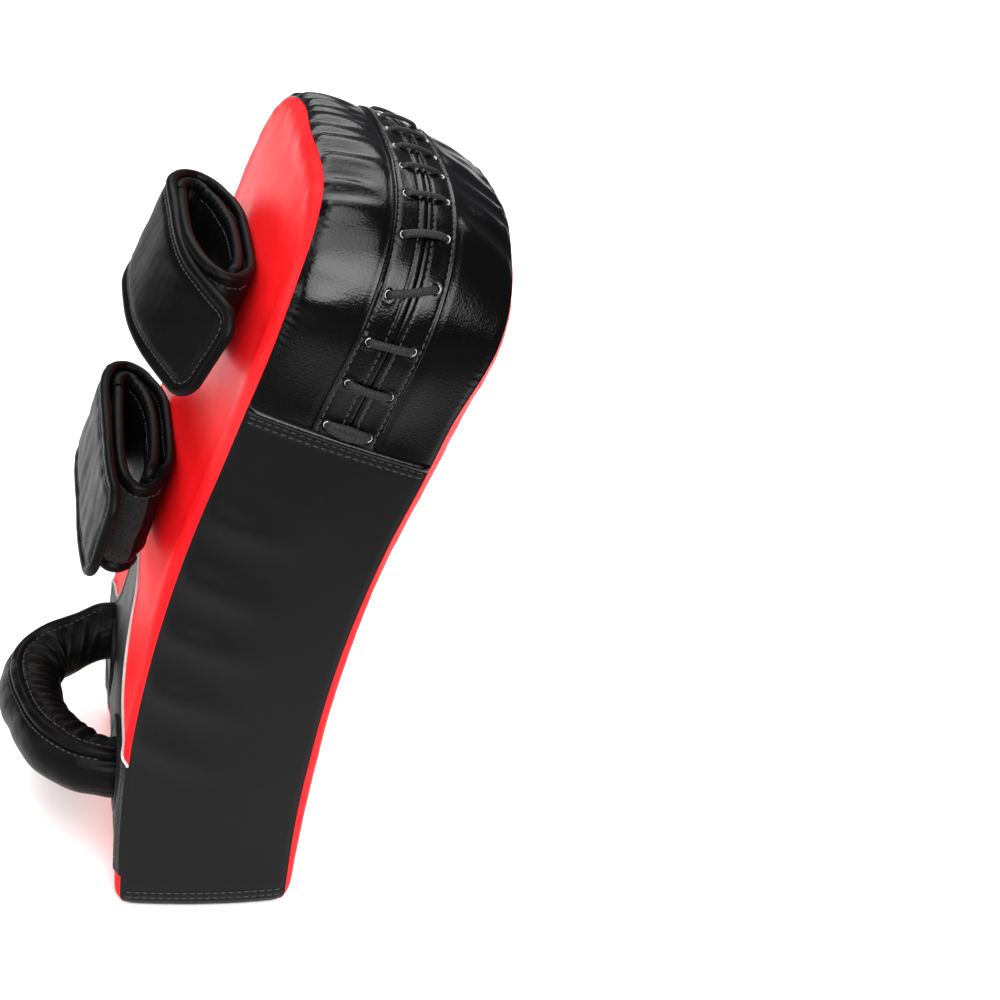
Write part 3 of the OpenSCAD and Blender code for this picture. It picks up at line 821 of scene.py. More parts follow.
def cord(d, off, out, wide, high, sides):
    """A closed braided tube along the wall, its flat side outward."""
    path = wall_point(d, off, out)
    up = unit(wall_point(d, off, out + 1) - path)
    along = unit(np.gradient(path, axis=0))
    across = unit(np.cross(along, up))
    up = np.cross(across, along)
    run = distances(path)
    a = np.arange(sides) * 2 * math.pi / sides
    size = braid(run[:, None], a[None, :])
    ring = (
        path[:, None]
        + across[:, None] * (np.cos(a) * size * wide / 2)[..., None]
        + up[:, None] * (np.sin(a) * size * high / 2)[..., None]
    )
    return ring.reshape(-1, 3), quads(len(path), sides, 0, False, True) + caps(len(path), sides)


def resample(path, step):
    path = np.asarray(path, float)
    run = distances(path)
    n = max(4, int(run[-1] / step) + 1)
    t = np.linspace(0, run[-1], n)
    return np.stack([np.interp(t, run, path[:, i]) for i in range(path.shape[1])], -1)


def curve_through(points, n=8):
    """Catmull-Rom points through given ones."""
    p = np.asarray(points, float)
    p = np.concatenate([[2 * p[0] - p[1]], p, [2 * p[-1] - p[-2]]])
    t = np.linspace(0, 1, n, endpoint=False)[:, None]
    out = []
    for a, b, c, e in zip(p, p[1:], p[2:], p[3:]):
        curve = 2 * b + (c - a) * t + (2 * a - 5 * b + 4 * c - e) * t**2 + (3 * b - a - 3 * c + e) * t**3
        out.append(0.5 * curve)
    return np.concatenate(out + [p[-2:-1]])


def crossing(i, strand):
    """One stitch of the lace over the slit; the lowest has two strands, -1 and 1, side by side."""
    bow = 1.5 * strand if strand else 0.3 * (-1) ** i
    lift = 1.25 if strand else 1.15
    half = [(1.0, -5.5), (1.0, -2.8), (0.97, -0.9), (0.86, 0.75 + lift * 0.2), (0.6, lift + 0.55), (0, lift + 0.95)]
    spots = []
    for share, high in half + [(-share, high) for share, high in half[-2::-1]]:
        blend = 0.5 + 0.5 * share
        d = hole_d(i, 1) * blend + hole_d(i, -1) * (1 - blend) + bow * (1 - share**2) + 0.27 * strand
        spots.append((d, share * HOLE_OFF, high))
    d, off, high = resample(curve_through(spots, 6), 0.3).T
    tight = 1.0 if i < 5 else 0.75
    return cord(d, off, wall_base(d, off)[0] + 1.9 + high, 3.7 * tight, 2.6 * tight, 22)


def hidden_run(i):
    """The lace behind the placket, from one stitch to the next."""
    side = 1 if i % 2 else -1
    d = np.linspace(hole_d(i, side), hole_d(i + 1, side), 30)
    off = np.full(30, side * HOLE_OFF * 0.98)
    depth = -3.2 - 0.6 * np.sin(np.linspace(0, math.pi, 30))
    return cord(d, off, wall_base(d, off)[0] + depth, 3.4, 2.4, 12)


def lace():
    parts = [crossing(0, -1), crossing(0, 1)] + [crossing(i, 0) for i in range(1, STITCHES)]
    parts += [hidden_run(i) for i in range(STITCHES - 1)]
    mesh("braided_lace", *joined(parts), CORD, slot="lace_cord", replaced=["lace"], sharp=80)


lace()


def punched_holes():
    """The cloth backing that shows as a pale rim round each punched hole, and the dark inside."""
    rims, insides = [], []
    for i in range(STITCHES):
        for side in (-1, 1):
            mid_d, mid_o = hole_d(i, side), side * HOLE_OFF
            spread = np.linspace(-0.95, 0.95, 15) * math.pi * 0.40
            a = spread + 0.25 * math.sin(7.0 * i + side)
            ring = []
            for width, high in ((0, -0.45), (0.1, -0.05), (0.35, -0.02), (0.5, -0.5), (0.2, -0.9)):
                r = 1.7 + width * np.cos(spread / 0.85) ** 0.7
                d, o = mid_d + r * np.sin(a), mid_o + side * r * np.cos(a)
                ring.append(wall_point(d, o, placket_out(d, np.full_like(d, mid_o + side * 2.6)) + 0.15 + high))
            ring = np.stack(ring, 1)
            rows, cols = ring.shape[:2]
            rims.append((ring.reshape(-1, 3), quads(rows, cols, 0, side < 0, True) + caps(rows, cols, True)))
            a = circle(20)
            disc = []
            level = placket_out(np.full_like(a, mid_d + 4), np.full_like(a, mid_o)) - 0.15
            for radius, drop in ((1.75, -0.15), (1.3, -1.2), (0.7, -1.7)):
                d, o = mid_d + radius * np.cos(a), mid_o + radius * np.sin(a)
                disc.append(wall_point(d, o, level + drop))
            disc = np.stack(disc, 0)
            middle = np.array([mid_d]), np.array([mid_o])
            insides.append(disc_shell(disc, disc + (wall_point(*middle, -1.0) - wall_point(*middle, 0.0)) * 0.5))
    mesh("hole_rims", *joined(rims), RAW_EDGE, slot="lining_cloth")
    mesh("hole_insides", *joined(insides), HOLE, slot="gloss_leather")


punched_holes()


# ---- stitching on the walls and placket ----
def wall_row(d, off, out_at, lift, *how):
    """A row of stitches on the wall's outer face."""
    d, off = np.broadcast_arrays(np.asarray(d, float), np.asarray(off, float))
    out = out_at(d, off)
    return sewn(lambda height: wall_point(d, off, out + height), lift, *how)


def wall_stitching():
    parts = []
    along = np.arange(SEAM_LEFT + 1.0, SEAM_RIGHT - 1.0, 1.0)
    for side in (-1, 1):
        parts.append(wall_row(along, side * (PLACKET_HALF - 2.6), placket_out, 0, 3.9, 2.9, 0.42, 1))
        parts.append(wall_row(along, side * 3.7, placket_out, 0, 3.9, 2.9, 0.38, 2))
    for mirror in (False, True):
        for up, lift in [(row, 0.1) for row in FOOT_ROWS] + [(row, 0.05) for row in WELT_ROWS]:
            d = RIM_LENGTH - up if mirror else up
            half = float(half_thick(rim(d)[1]))
            off = np.linspace(-half + 1.5, half - 1.5, 120)
            parts.append(wall_row(d, off, lower_out, lift, 4.1, 3.0, 0.38, 3))
    mesh("wall_stitching", *joined(parts), THREAD, slot="lace_cord", sharp=80)


wall_stitching()


# ---- reinforcement over the lower arm side ----
def patch_top(x):
    f = np.minimum(np.abs(x) / half_width(PATCH_SIDE_TOP), 1)
    return PATCH_SIDE_TOP + (PATCH_ARCH_TOP - PATCH_SIDE_TOP) / (1 + (f / PATCH_ARCH_SPREAD) ** 2.2)


def patch_grid(extra, v, u):
    """Points on the reinforcement: u across from -1 to 1, v from its bottom edge to its arch."""
    top = patch_top(u * BASE_HALF)
    s = PATCH_BOTTOM + (top - PATCH_BOTTOM) * v
    x = u * (half_width(s) - 0.4)
    e, d = rim_distance(x, s)
    return at(x, s, panel_off(x, s, 1, e, d) - tuck(s) + extra)


patch_field = waves(61, 8, 18, 60)


def patch_lift(u, v):
    top = patch_top(u * BASE_HALF)
    up, side = (top - PATCH_BOTTOM) * v, (1 - np.abs(u)) * BASE_HALF
    from_arch = (top - PATCH_BOTTOM) - up
    rows = 0.35 * (bump(side, 4.0, 0.9) + bump(up, 3.0, 0.8) + bump(up, 6.2, 0.8) + bump(from_arch, 3.5, 0.8))
    calm = settle(from_arch, 6) * settle(side, 6)
    return 1.25 - rows + 0.35 * patch_field(u * BASE_HALF, up) * calm + 0.3 * bump(from_arch, 1.0, 1.4)


def reinforcement():
    v = refined([0, 0.035, 0.08, 0.9, 1], [0.006, 0.008, 0.022, 0.008])
    u = refined([-1, -0.93, -0.5, 0.5, 0.93, 1], [0.01, 0.022, 0.012, 0.022, 0.01])
    grid_v, grid_u = grid(v, u)
    outer = patch_grid(patch_lift(grid_u, grid_v), grid_v, grid_u)
    inner = patch_grid(0.1 - 1.9 * fade((1 - np.abs(grid_u)) * BASE_HALF, 0.4, 2.2), grid_v, grid_u)
    points, faces = grid_shell(outer, inner, flip=True)
    mesh("reinforcement_leather", points, faces, BLACK, slot="black_leather", replaced=["back_reinforcement"])
    u = np.linspace(-1, 1, 160)
    corners = ((1.0, 0.05), (1.0, 1.25), (1.006, 1.35), (1.014, 1.2), (1.014, 0.05))
    ring = np.stack([patch_grid(lift, v_edge + 0 * u, u) for v_edge, lift in corners], 1)
    faces = quads(len(u), 5, 0, False, True) + caps(len(u), 5, True)
    mesh("reinforcement_raw_edge", ring, faces, RAW_EDGE, slot="lining_cloth", sharp=80)
    u = np.linspace(-0.955, 0.955, 240)
    tall = patch_top(u * BASE_HALF) - PATCH_BOTTOM
    rows = [(u, v, 4) for v in (3.0 / tall, 6.2 / tall, 1 - 3.5 / tall)]
    v = np.linspace(0.02, 0.98, 60)
    rows += [(np.full(60, side * (1 - 4.0 / BASE_HALF)), v, 5) for side in (-1, 1)]
    parts = [
        sewn(lambda height: patch_grid(patch_lift(u, v) + height, v, u), 0.05, 4.1, 3.0, 0.38, seed)
        for u, v, seed in rows
    ]
    mesh("reinforcement_stitching", *joined(parts), THREAD, slot="lace_cord", sharp=80)


reinforcement()


# ---- straps ----
def place(s0, x, h, z):
    """Row-frame points of a strap's own frame: x across, h above the arm side's edge, z up the pad."""
    x, h, z = np.broadcast_arrays(np.asarray(x, float), np.asarray(h, float), np.asarray(z, float))
    a = float(lean(np.float64(s0)))
    y0, z0 = at(0, s0, 0)[1:]
    y = float(half_thick(s0)) + h
    return np.stack([x, y0 + y * math.cos(a) - z * math.sin(a), z0 + y * math.sin(a) + z * math.cos(a)], -1)


def bridge(upper, lower, flip=False):
    """Faces that join two rows of point numbers."""
    pairs = zip(upper, upper[1:], lower, lower[1:])
    return [[b, a, p, q] if flip else [a, b, q, p] for a, b, p, q in pairs]


class Strip:
    """A padded strip of strap: a profile across the pad, swept over the strap's width, with a rolled rim."""

    def __init__(self, s0, points, core, seed, half=STRAP_HALF, ends=(0, 0), tilt=0.0, droop=0.0, ruffles=()):
        self.s0, self.core, self.half, self.ends = s0, core, half, ends
        self.tilt, self.droop, self.ruffles = tilt, droop, ruffles
        self.line = resample(curve_through(points, 14), 0.5)
        self.run = distances(self.line)
        self.length = self.run[-1]
        self.turn = headings(self.line, 9)
        self.soft, self.fine = waves(seed, 7, 16, 46), waves(seed + 1, 8, 5, 11)

    def edge(self, u, z):
        """Distance to the strip's outline, which is round at an end with a radius."""
        e = self.half - np.abs(z)
        for r, t in zip(self.ends, (u, self.length - u)):
            if r > 0:
                side, back = np.abs(z) - (self.half - r), r - t
                e = np.where((side > 0) & (back > 0), r - np.hypot(side, back), np.minimum(e, t))
        return np.maximum(e, 0)

    def middle(self, u, z):
        x, h = np.interp(u, self.run, self.line[:, 0]), np.interp(u, self.run, self.line[:, 1])
        over = 1 - fade(-x, -48, -8)
        h = h - self.tilt * z * over
        z = z - self.droop * np.maximum(30 - x, 0)
        return x, h, z

    def spot(self, u, z, side, lift=0.0, shrink=0.0):
        """Points on the outer (side 1) or inner (side -1) face, u along the profile and z across it."""
        u, z = np.broadcast_arrays(np.asarray(u, float), np.asarray(z, float))
        x, h, zz = self.middle(u, z)
        tx, th = np.interp(u, self.run, self.turn[:, 0]), np.interp(u, self.run, self.turn[:, 1])
        e = self.edge(u, z)
        c = self.core
        roll = np.where(e < 1.8 * c, np.sqrt(np.maximum(c * c - (c - e) ** 2, 0)), 0)
        body = c * (0.60 + 0.38 * (1 - fade(e, 2.0 * c, 3.8 * c))) * (1 - fade(e, 0.8 * c, 1.4 * c))
        t = np.maximum(roll, body)
        calm = 1 - bump(e, 0, 4)
        t = t + (0.30 * self.soft(u, z * 1.3 + 60 * side) + 0.05 * self.fine(u, z)) * calm
        for start, end, pitch, high, reach in self.ruffles:
            within = (1 - fade(u, start - 5, start + 3)) * fade(u, end - 3, end + 5)
            wave = np.sin(2 * math.pi * u / pitch + 1.3 * self.soft(u * 0.6, z * 0.5) + 0.5 * side)
            t = t + high * wave * within * np.exp(-e / reach) * (1 - bump(e, 0, 1.2))
        t = t + 0.16 * np.sin(2 * math.pi * (u + z) / 3.3) * bump(e, 2 * c + 0.4, 1.3)
        t = np.maximum(t - shrink, 0.05 if shrink else 0) + lift
        return place(self.s0, x - side * th * t, h + side * tx * t, zz)

    def rows(self):
        stops, steps = [0], []
        a, b = (r if r > 0 else 0 for r in self.ends)
        if a:
            stops += [a * 0.12, a * 0.5, a]
            steps += [a * 0.03, a * 0.08, a * 0.12]
        if b:
            stops += [self.length - b, self.length - b * 0.5, self.length - b * 0.12, self.length]
            steps += [1.3, b * 0.12, b * 0.08, b * 0.03]
        else:
            stops.append(self.length)
            steps.append(1.3)
        return refined(stops, steps)

    def solid(self, shrink=0.0, margin=0.0):
        """Points and faces of the closed strip; with a margin, of the room inside its cover."""
        u = self.rows()
        if margin:
            u = refined([margin, self.length - margin], [2.5])
        c = self.core
        v = refined([0, 0.8 * c, 1.4 * c, 3.6 * c, self.half], [0.42, 0.5, 0.6, 2.2])
        v = self.half - v
        v = np.concatenate([-v, v[-2::-1]])
        width = np.full(len(u), 1.0)
        if margin:
            v = np.linspace(-1, 1, 25) * (self.half - margin)
        else:
            for r, t in zip(self.ends, (u, self.length - u)):
                if r > 0:
                    back = np.clip(r - t, 0, r)
                    cut = r - np.sqrt(np.maximum(r * r - back * back, 0))
                    width = np.minimum(width, (self.half - cut) / self.half)
        grid_u = u[:, None] + 0 * v[None]
        grid_z = width[:, None] * v[None]
        top, low = self.spot(grid_u, grid_z, 1, 0, shrink), self.spot(grid_u, grid_z, -1, 0, shrink)
        n, m = grid_u.shape
        ids = np.arange(n * m).reshape(n, m)
        under = ids + n * m
        if not margin:
            under[:, 0], under[:, -1] = ids[:, 0], ids[:, -1]
            if self.ends[0] > 0:
                under[0] = ids[0]
            if self.ends[1] > 0:
                under[-1] = ids[-1]

        def sheet(q):
            return np.stack([q[:-1, :-1], q[:-1, 1:], q[1:, 1:], q[1:, :-1]], -1).reshape(-1, 4)

        faces = sheet(ids)[:, ::-1].tolist() + sheet(under).tolist()
        if margin or self.ends[0] == 0:
            faces += bridge(ids[0], under[0])
        if margin or self.ends[1] == 0:
            faces += bridge(ids[-1], under[-1], True)
        if margin:
            faces += bridge(ids[:, 0], under[:, 0], True) + bridge(ids[:, -1], under[:, -1])
        faces = [[int(i) for i in dict.fromkeys(f)] for f in faces]
        points = np.concatenate([top.reshape(-1, 3), low.reshape(-1, 3)])
        used = np.zeros(len(points), bool)
        used[[i for f in faces for i in f]] = True
        index = np.cumsum(used) - 1
        return points[used], [[int(index[i]) for i in f] for f in faces if len(f) > 2]

    def stitch_line(self, side, seed):
        """Stitches inside the rolled rim on one face, round the far end if it is a free one."""
        inset = 2 * self.core + 0.9
        edge_z = self.half - inset
        if self.ends[1] > 0:
            r, stop = max(self.ends[1] - inset, 1.0), self.length - inset
            u = np.arange(0, stop - r, 1.0)
            a = np.linspace(0, math.pi / 2, 14)
            arc_u, arc_z = stop - r + r * np.sin(a), edge_z - r + r * np.cos(a)
            across = np.linspace(arc_z[-1], -arc_z[-1], 24)
            all_u = np.concatenate([u, arc_u, np.full(24, stop), arc_u[::-1], u[::-1]])
            legs = [(all_u, np.concatenate([0 * u + edge_z, arc_z, across, -arc_z[::-1], 0 * u - edge_z]))]
        else:
            u = np.arange(0, self.length, 1.0)
            legs = [(u, 0 * u + edge_z), (u, 0 * u - edge_z)]
        rows = [sewn(lambda height: self.spot(*leg, side, height), 0.05, 3.5, 2.6, 0.36, seed) for leg in legs]
        return joined(rows)


def cover_of(outside, room):
    """A stuffed piece's cover: its outside, and the room inside it as an inner wall."""
    points, faces = room
    return joined([outside, (points, [f[::-1] for f in faces])])


def hollow(strip):
    return cover_of(strip.solid(), strip.solid(shrink=0.9, margin=9))


def tape_sheet(strip, side, start, end, half, thick):
    """A strip of tape on one face."""
    u, z = np.arange(start, end, 1.6), np.linspace(-half, half, 26)
    grid_u, grid_z = grid(u, z)
    return grid_shell(strip.spot(grid_u, grid_z, side, thick), strip.spot(grid_u, grid_z, side), flip=side > 0)


def strap(word, s0, far, profiles, tilt, droop, band_droop, loops_from, seed):
    """One forearm strap: sewn base, lining, wrapped band and the flap that closes over it.

    profiles are those of the base, the lining, the band, the flap and the lining of its bend, as (x, h).
    """
    base_at, lining_at, band_at, flap_at, bend_at = profiles
    base = Strip(s0, base_at, 2.5, seed)
    lining = Strip(s0, lining_at, 3.0, seed + 2, STRAP_HALF - 1.2, (7, 0), ruffles=[(58, 110, 5.5, 0.7, 8)])
    band = Strip(s0, band_at, 2.9, seed + 4, ends=(0, 6), droop=band_droop, ruffles=[(4, 26, 6.5, 0.35, 10)])
    flap = Strip(s0, flap_at, 2.6, seed + 6, STRAP_HALF, (0, 14), tilt, droop, [(4, 34, 7.5, 0.4, 9)])
    bend = Strip(s0, bend_at, 2.9, seed + 8, STRAP_HALF - 1.0, ruffles=[(0, 60, 4.6, 1.0, 9)])

    def on_middle(x, h):
        return [v * MM for v in place(s0, x, h, 0)]

    def add(name, parts, material, slot, joint, node=None, sharp=60):
        body, replaced = None if joint else "pad", [f"{word}_{node}"] if node else ()
        obj = mesh(f"{word}_{name}", *parts, material, body, slot, replaced, sharp)
        if joint == "band":
            on_middle(-60, 15)
            on_middle(-60, 27)
            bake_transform(obj)
        if joint == "flap":
            x, h = far
            on_middle(x + 2, h - 5)
            on_middle(x - 4, h + 9)
            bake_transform(obj)

    add("base_leather", base.solid(), STRAP, "strap_leather", None, "strap_base")
    add("lining_pad", lining.solid(), STRAP, "lining_cloth", None, "base_lining")
    add("band_leather", hollow(band), STRAP, "strap_leather", "band", "band_cover")
    add("flap_leather", hollow(flap), STRAP, "strap_leather", "flap", "flap_cover")
    add("bend_lining", bend.solid(), STRAP, "lining_cloth", "flap", "flap_lining")
    add("band_foam", band.solid(1.15, 10), FOAM, "foam", "band", "band_padding")
    add("flap_foam", flap.solid(1.15, 10), FOAM, "foam", "flap", "flap_padding")
    loops = tape_sheet(band, 1, loops_from, band.length - 9, 18.8, 0.5)
    add("loop_strip", loops, LOOPS, "tape_cloth", "band", "loop_tape")
    hooks = tape_sheet(flap, 1, 62, flap.length - 14, 18.5, 0.7)
    add("hook_strip", hooks, HOOKS, "tape_cloth", "flap", "hook_tape")
    for name, joint, rows in (
        ("flap", "flap", ((flap, -1, 0), (flap, 1, 1))),
        ("band", "band", ((band, -1, 0), (band, 1, 1))),
        ("base", None, ((base, 1, 0), (lining, 1, 1), (lining, -1, 1))),
    ):
        parts = [piece.stitch_line(side, seed + extra) for piece, side, extra in rows]
        add(f"{name}_stitching", joined(parts), DARK_THREAD, "lace_cord", joint, sharp=80)


strap(
    "upper", 312, (60, 22),
    (
        [(-52, 13.5), (-44, 10.5), (-32, 9), (-12, 8.6), (10, 8.6), (28, 9.2), (42, 12.2), (51, 16.5)],
        [(-53, 20.5), (-44, 17), (-30, 15), (-10, 14.3), (8, 14.6), (24, 17), (38, 21), (47, 26)],
        [(-52, 13.5), (-58.5, 16.5), (-63, 21), (-63.5, 26), (-57.5, 32), (-45, 37), (-28, 40.3), (-8, 41.2),
         (14, 41.2), (34, 40.4)],
        [(51, 16.5), (57.5, 20), (62, 25.5), (62.5, 32), (56, 39.5), (40, 45.8), (18, 48.2),
         (-8, 48), (-32, 46), (-54, 40.5), (-75, 31), (-94.5, 20.5)],
        [(33.5, 40.8), (43, 39.6), (50.5, 35.8), (53, 31), (50.5, 27.6), (47, 26)],
    ),
    tilt=0.16, droop=0.06, band_droop=0.0, loops_from=58, seed=200,
)
strap(
    "lower", 205, (56, 21),
    (
        [(-52, 14), (-44, 10.8), (-32, 9.2), (-12, 8.6), (10, 8.6), (26, 9), (39, 11.8), (47.5, 15.8)],
        [(-53, 20.5), (-44, 18), (-28, 16.6), (-8, 16), (8, 16.2), (22, 17.6), (34, 20), (43.5, 24)],
        [(-52, 14), (-59, 17), (-63.5, 21.5), (-63.5, 26.5), (-56.5, 31), (-43, 33.2), (-26, 33.9),
         (-6, 34.1), (14, 34), (32, 33.6)],
        [(47.5, 15.8), (54, 19), (58.5, 24), (58.8, 30), (51, 36.8), (34, 40.6), (10, 41.3),
         (-18, 40.8), (-46, 40.6), (-68, 39.6), (-93, 37)],
        [(31.5, 33.8), (40, 33.2), (46.8, 30.8), (48.6, 27.6), (46.5, 25.2), (43.5, 24)],
    ),
    tilt=0.0, droop=0.005, band_droop=0.06, loops_from=12, seed=300,
)


# ---- grip ----
GRIP_S, ROOT_X = 64.0, 53
GRIP_LINE = [
    (56, 0.5, 13), (56, 8, 11), (56, 22, 3), (54.5, 34, -4.5), (46, 42.5, -9), (34, 46, -10), (14, 45.5, -7.5),
    (-8, 42.5, -4), (-28, 37, -1.5), (-43, 29, 0), (-53, 18, 0), (-57, 7, 0), (-57, 0.5, 0),
]
GRIP_R = 16.8
grip_soft, grip_fine = waves(71, 8, 20, 60), waves(73, 8, 6, 14)


class Grip:
    """The stuffed tube: run along it from the far root, angle round it from the pad's up towards its inside."""

    def __init__(self):
        self.line = resample(curve_through(GRIP_LINE, 16), 0.8)
        self.run = distances(self.line)
        self.length = self.run[-1]
        self.turn = headings(self.line, 13)

    def welt_angle(self, u):
        return 0.55 - 0.45 * fade(u, 28, 55)

    def spot(self, u, angle, lift=0.0, shrink=0.0):
        u, angle = np.broadcast_arrays(np.asarray(u, float), np.asarray(angle, float))
        x, h = np.interp(u, self.run, self.line[:, 0]), np.interp(u, self.run, self.line[:, 1])
        drop = np.interp(u, self.run, self.line[:, 2])
        tx, th = np.interp(u, self.run, self.turn[:, 0]), np.interp(u, self.run, self.turn[:, 1])
        from_end = np.minimum(u, self.length - u)
        root = fade(from_end, 3, 24)
        r = GRIP_R * (1 - 0.03 * np.cos(u / 9.0)) + 0.5 * grip_soft(u, 17 * angle) - 0.6 * root
        inside = np.sin(angle)
        rel = np.angle(np.exp(1j * (angle - self.welt_angle(u)))) * GRIP_R
        ribs = np.abs(np.sin(math.pi * u / 9.5 + 0.9 * grip_soft(u * 0.5, angle * 5)))
        where = (1 - fade(-rel, 3.2, 7)) * fade(-rel, 24, 36) * (0.3 + 0.7 * (1 - fade(from_end, 8, 24)))
        r = r + 2.2 * (ribs - 0.75) * where + 0.08 * grip_fine(u, 17 * angle)
        gathers = np.sin(2 * math.pi * rel / 5.0 + 2 * grip_soft(angle * 9, u * 0.3))
        r = r + 0.3 * gathers * fade(from_end, 4, 12) * (1 - where)
        welt = np.clip(np.abs(rel) / 2.9, 0, 1)
        r = r + 1.9 * np.sqrt(np.maximum(1 - welt**4, 0)) * fade(5 - from_end, -8, 4)
        r = r - 0.75 * bump(np.abs(rel), 3.5, 1.0)
        r = r - shrink + lift
        wide, flat = 1 + 0.08 * root, 1 - 0.12 * root
        ox, oh = th * inside * r * flat, -tx * inside * r * flat
        return place(GRIP_S, x + ox, h + oh, drop + np.cos(angle) * r * wide)


grip = Grip()


def grip_tube(shrink, u_step, trim):
    """The grip's outside, with more points near its welt, or when shrunk the room in its cover."""
    u = refined([trim, grip.length - trim], [u_step])
    if shrink:
        a = circle(40)
    else:
        a = np.concatenate([np.linspace(-0.35, 0.65, 26), np.linspace(0.65, 2 * math.pi - 0.35, 60)[1:-1]])
    grid_u, grid_a = grid(u, a)
    points = grip.spot(grid_u, grid_a if shrink else grid_a + grip.welt_angle(grid_u), 0.0, shrink)
    rows, cols = grid_u.shape
    return points.reshape(-1, 3), quads(rows, cols, 0, False, True) + caps(rows, cols)


def grip_pieces():
    shell = cover_of(grip_tube(0, 1.1, 0.0), grip_tube(1.6, 3.0, 1.5))
    cover = mesh("grip_leather", *shell, STRAP, body=None, slot="strap_leather", replaced=["grip_cover"])
    room = grip_tube(2.0, 3.0, 2.5)
    filling = mesh("grip_filling", *room, FOAM, body=None, slot="foam", replaced=["grip_stuffing"])
    rows = []
    u = np.arange(8, grip.length - 8, 1.0)
    for shift in (-4.6, 4.6):
        a = grip.welt_angle(u) + shift / GRIP_R
        rows.append(sewn(lambda height: grip.spot(u, a, height), 0.05, 3.6, 2.6, 0.34, 9))
    thread = mesh("grip_stitching", *joined(rows), THREAD, body=None, slot="lace_cord", sharp=80)
    start, end = (tuple(v * MM for v in place(GRIP_S, 0, h, 0)) for h in (10, 28))
    for obj in (cover, filling, thread):
        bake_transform(obj)


grip_pieces()


def root_patch(name, side, node):
    """The round patch that a grip root is sewn to, with a turned edge and two rings of stitches."""
    a = circle(96)
    r = np.concatenate([[25, 24.7, 24.2, 23.4, 22.4, 21.4, 20.2], np.linspace(19, 1, 14)])[:, None]
    x, s = side * ROOT_X + r * np.cos(a) * 0.98, GRIP_S + r * np.sin(a)
    x = np.clip(x, -(half_width(s) - 2.2), half_width(s) - 2.2)
    e, d = rim_distance(x, s)
    under = panel_off(x, s, 1, e, d) + 1.35
    rim_roll = 1.5 * np.sqrt(np.clip(1 - ((r - 23.0) / 2.0) ** 2, 0, 1)) * (r > 21)
    height = 0.9 * np.clip((25 - r) / 0.6, 0, 1) + 0.5 * rim_roll - 0.3 * bump(r, 20.6, 0.8)
    height = height + 0.25 * patch_field(x, s) * (r < 20)
    points, faces = disc_shell(at(x, s, under + height), at(x, s, under - 0.5))
    mesh(name, points, faces, BLACK, slot="black_leather", replaced=[node])
    parts = []
    for radius in (20.6, 17.8):
        a = np.linspace(0, 2 * math.pi, 140)
        x, s = side * ROOT_X + radius * np.cos(a), GRIP_S + radius * np.sin(a)
        e, d = rim_distance(x, s)
        off = panel_off(x, s, 1, e, d)
        parts.append(sewn(lambda height: at(x, s, off + height), 2.2, 3.8, 2.8, 0.36, 12))
    mesh(name + "_stitching", *joined(parts), THREAD, slot="lace_cord", sharp=80)


root_patch("grip_root_patch_left", -1, "grip_left_patch")
root_patch("grip_root_patch_right", 1, "grip_right_patch")


# ---- camera, light and floor ----
def aimed(turn, tilt, roll):
    """World rotation of a camera that looks along azimuth turn and elevation tilt, rolled about its view."""
    look = Vector((math.cos(tilt) * math.cos(turn), math.cos(tilt) * math.sin(turn), math.sin(tilt)))
    right = look.cross(Vector((0, 0, 1))).normalized()
    up = right.cross(look)
    right, up = right * math.cos(roll) + up * math.sin(roll), up * math.cos(roll) - right * math.sin(roll)
    return Matrix((right, up, -look)).transposed().to_4x4()


camera = bpy.data.objects.new("camera", bpy.data.cameras.new("camera"))
camera.data.lens, camera.data.sensor_width = 73.7, 36
turned = aimed(math.radians(-14.91), math.radians(-28.09), math.radians(8.53))
camera.matrix_world = Matrix.Translation((-0.9437, 0.0980, 0.7218)) @ turned
bpy.context.scene.collection.objects.link(camera)
bpy.context.scene.camera = camera


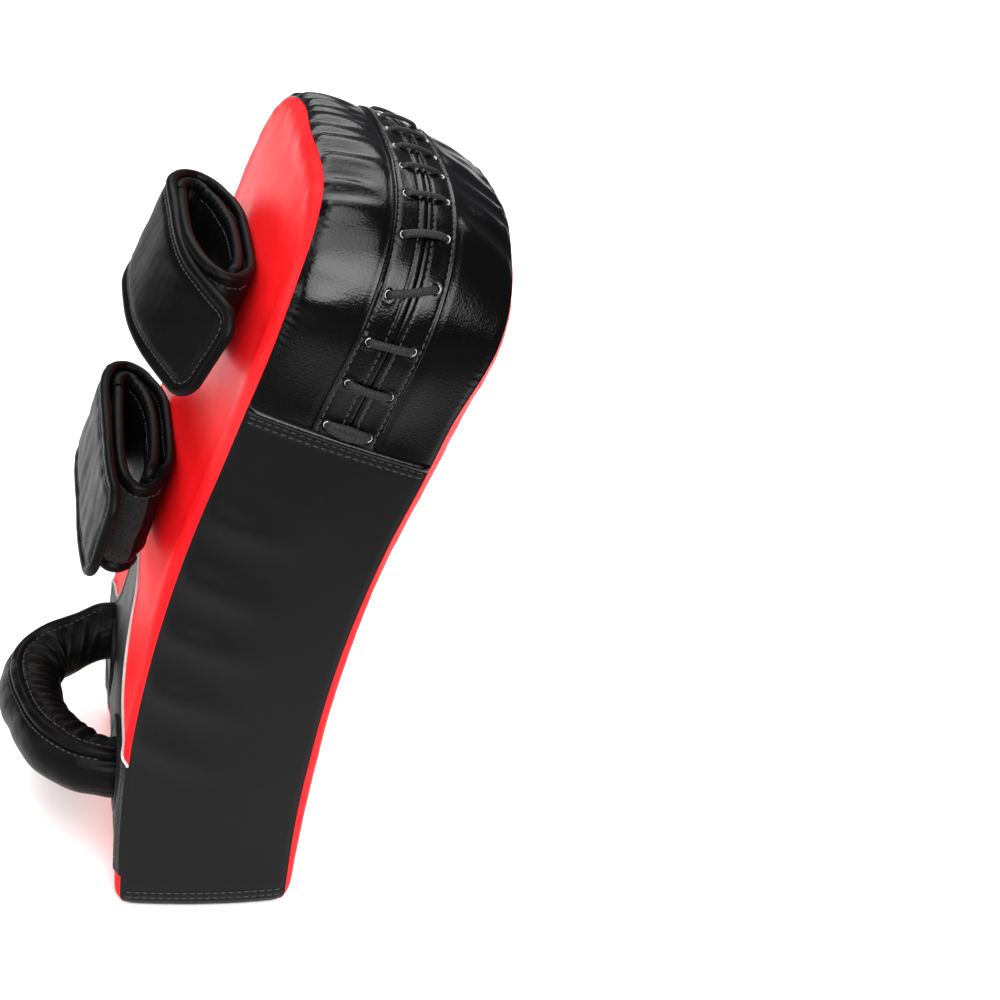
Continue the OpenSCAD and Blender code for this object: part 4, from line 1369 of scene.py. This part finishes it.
def softbox(name, place, target, width, height, power, spread=180):
    data = bpy.data.lights.new(name, "AREA")
    data.spread = math.radians(spread)
    data.shape, data.size, data.size_y, data.energy = "RECTANGLE", width, height, power
    lamp = bpy.data.objects.new(name, data)
    lamp.location = place
    lamp.rotation_euler = (Vector(target) - Vector(place)).to_track_quat("-Z", "Y").to_euler()
    bpy.context.scene.collection.objects.link(lamp)


softbox("overhead", (0.9, 0.1, 2.6), (0.9, 0, 0), 1.8, 2.4, 34)
softbox("top_near", (-0.95, 0.1, 2.3), (0, 0, 0.37), 2.8, 1.2, 15, spread=90)
softbox("camera_side", (-2.05, -0.3, 1.42), (0, -0.05, 0.36), 3.3, 1.7, 50, spread=95)
softbox("arm_fill", (-0.5, 2.6, 1.2), (0, 0.1, 0.25), 2.2, 1.5, 12, spread=110)
softbox("far_side", (3.2, -0.2, 2.6), (3.2, -0.2, 0), 3.2, 3.2, 105)

world = bpy.data.worlds.new("studio")
world.use_nodes = True
world.node_tree.nodes["Background"].inputs["Color"].default_value = (0.93, 0.95, 1.0, 1)
world.node_tree.nodes["Background"].inputs["Strength"].default_value = 0.12
bpy.context.scene.world = world
bpy.context.scene.view_settings.view_transform = "Standard"
bpy.context.scene.view_settings.gamma = 0.88

floor_data = bpy.data.meshes.new("floor")
floor_data.from_pydata([(-6, -6, 0), (6, -6, 0), (6, 6, 0), (-6, 6, 0)], [], [(0, 1, 2, 3)])
floor_paint = Shader("floor_paint", (0.9, 0.9, 0.9), 0.8, Specular_IOR_Level=0.2)
# painted shade: the floor is painted darker on the camera's side, where only the glossy walls mirror it
dot = {"operation": "DOT_PRODUCT"}
away = floor_paint.add("ShaderNodeVectorMath", dot, i0=floor_paint.space, i1=(-0.95, -0.3, 0)).outputs["Value"]
painted_floor_shade = floor_paint.blend(floor_paint.span(away, 0.28, 0.65), 1.0, floor_paint.noise(3, 3), 0.05)
floor_paint.tint(painted_floor_shade, (0.92, 0.92, 0.92), (0.10, 0.10, 0.10))
floor_data.materials.append(floor_paint.material)
floor = bpy.data.objects.new("floor", floor_data)
bpy.context.scene.collection.objects.link(floor)
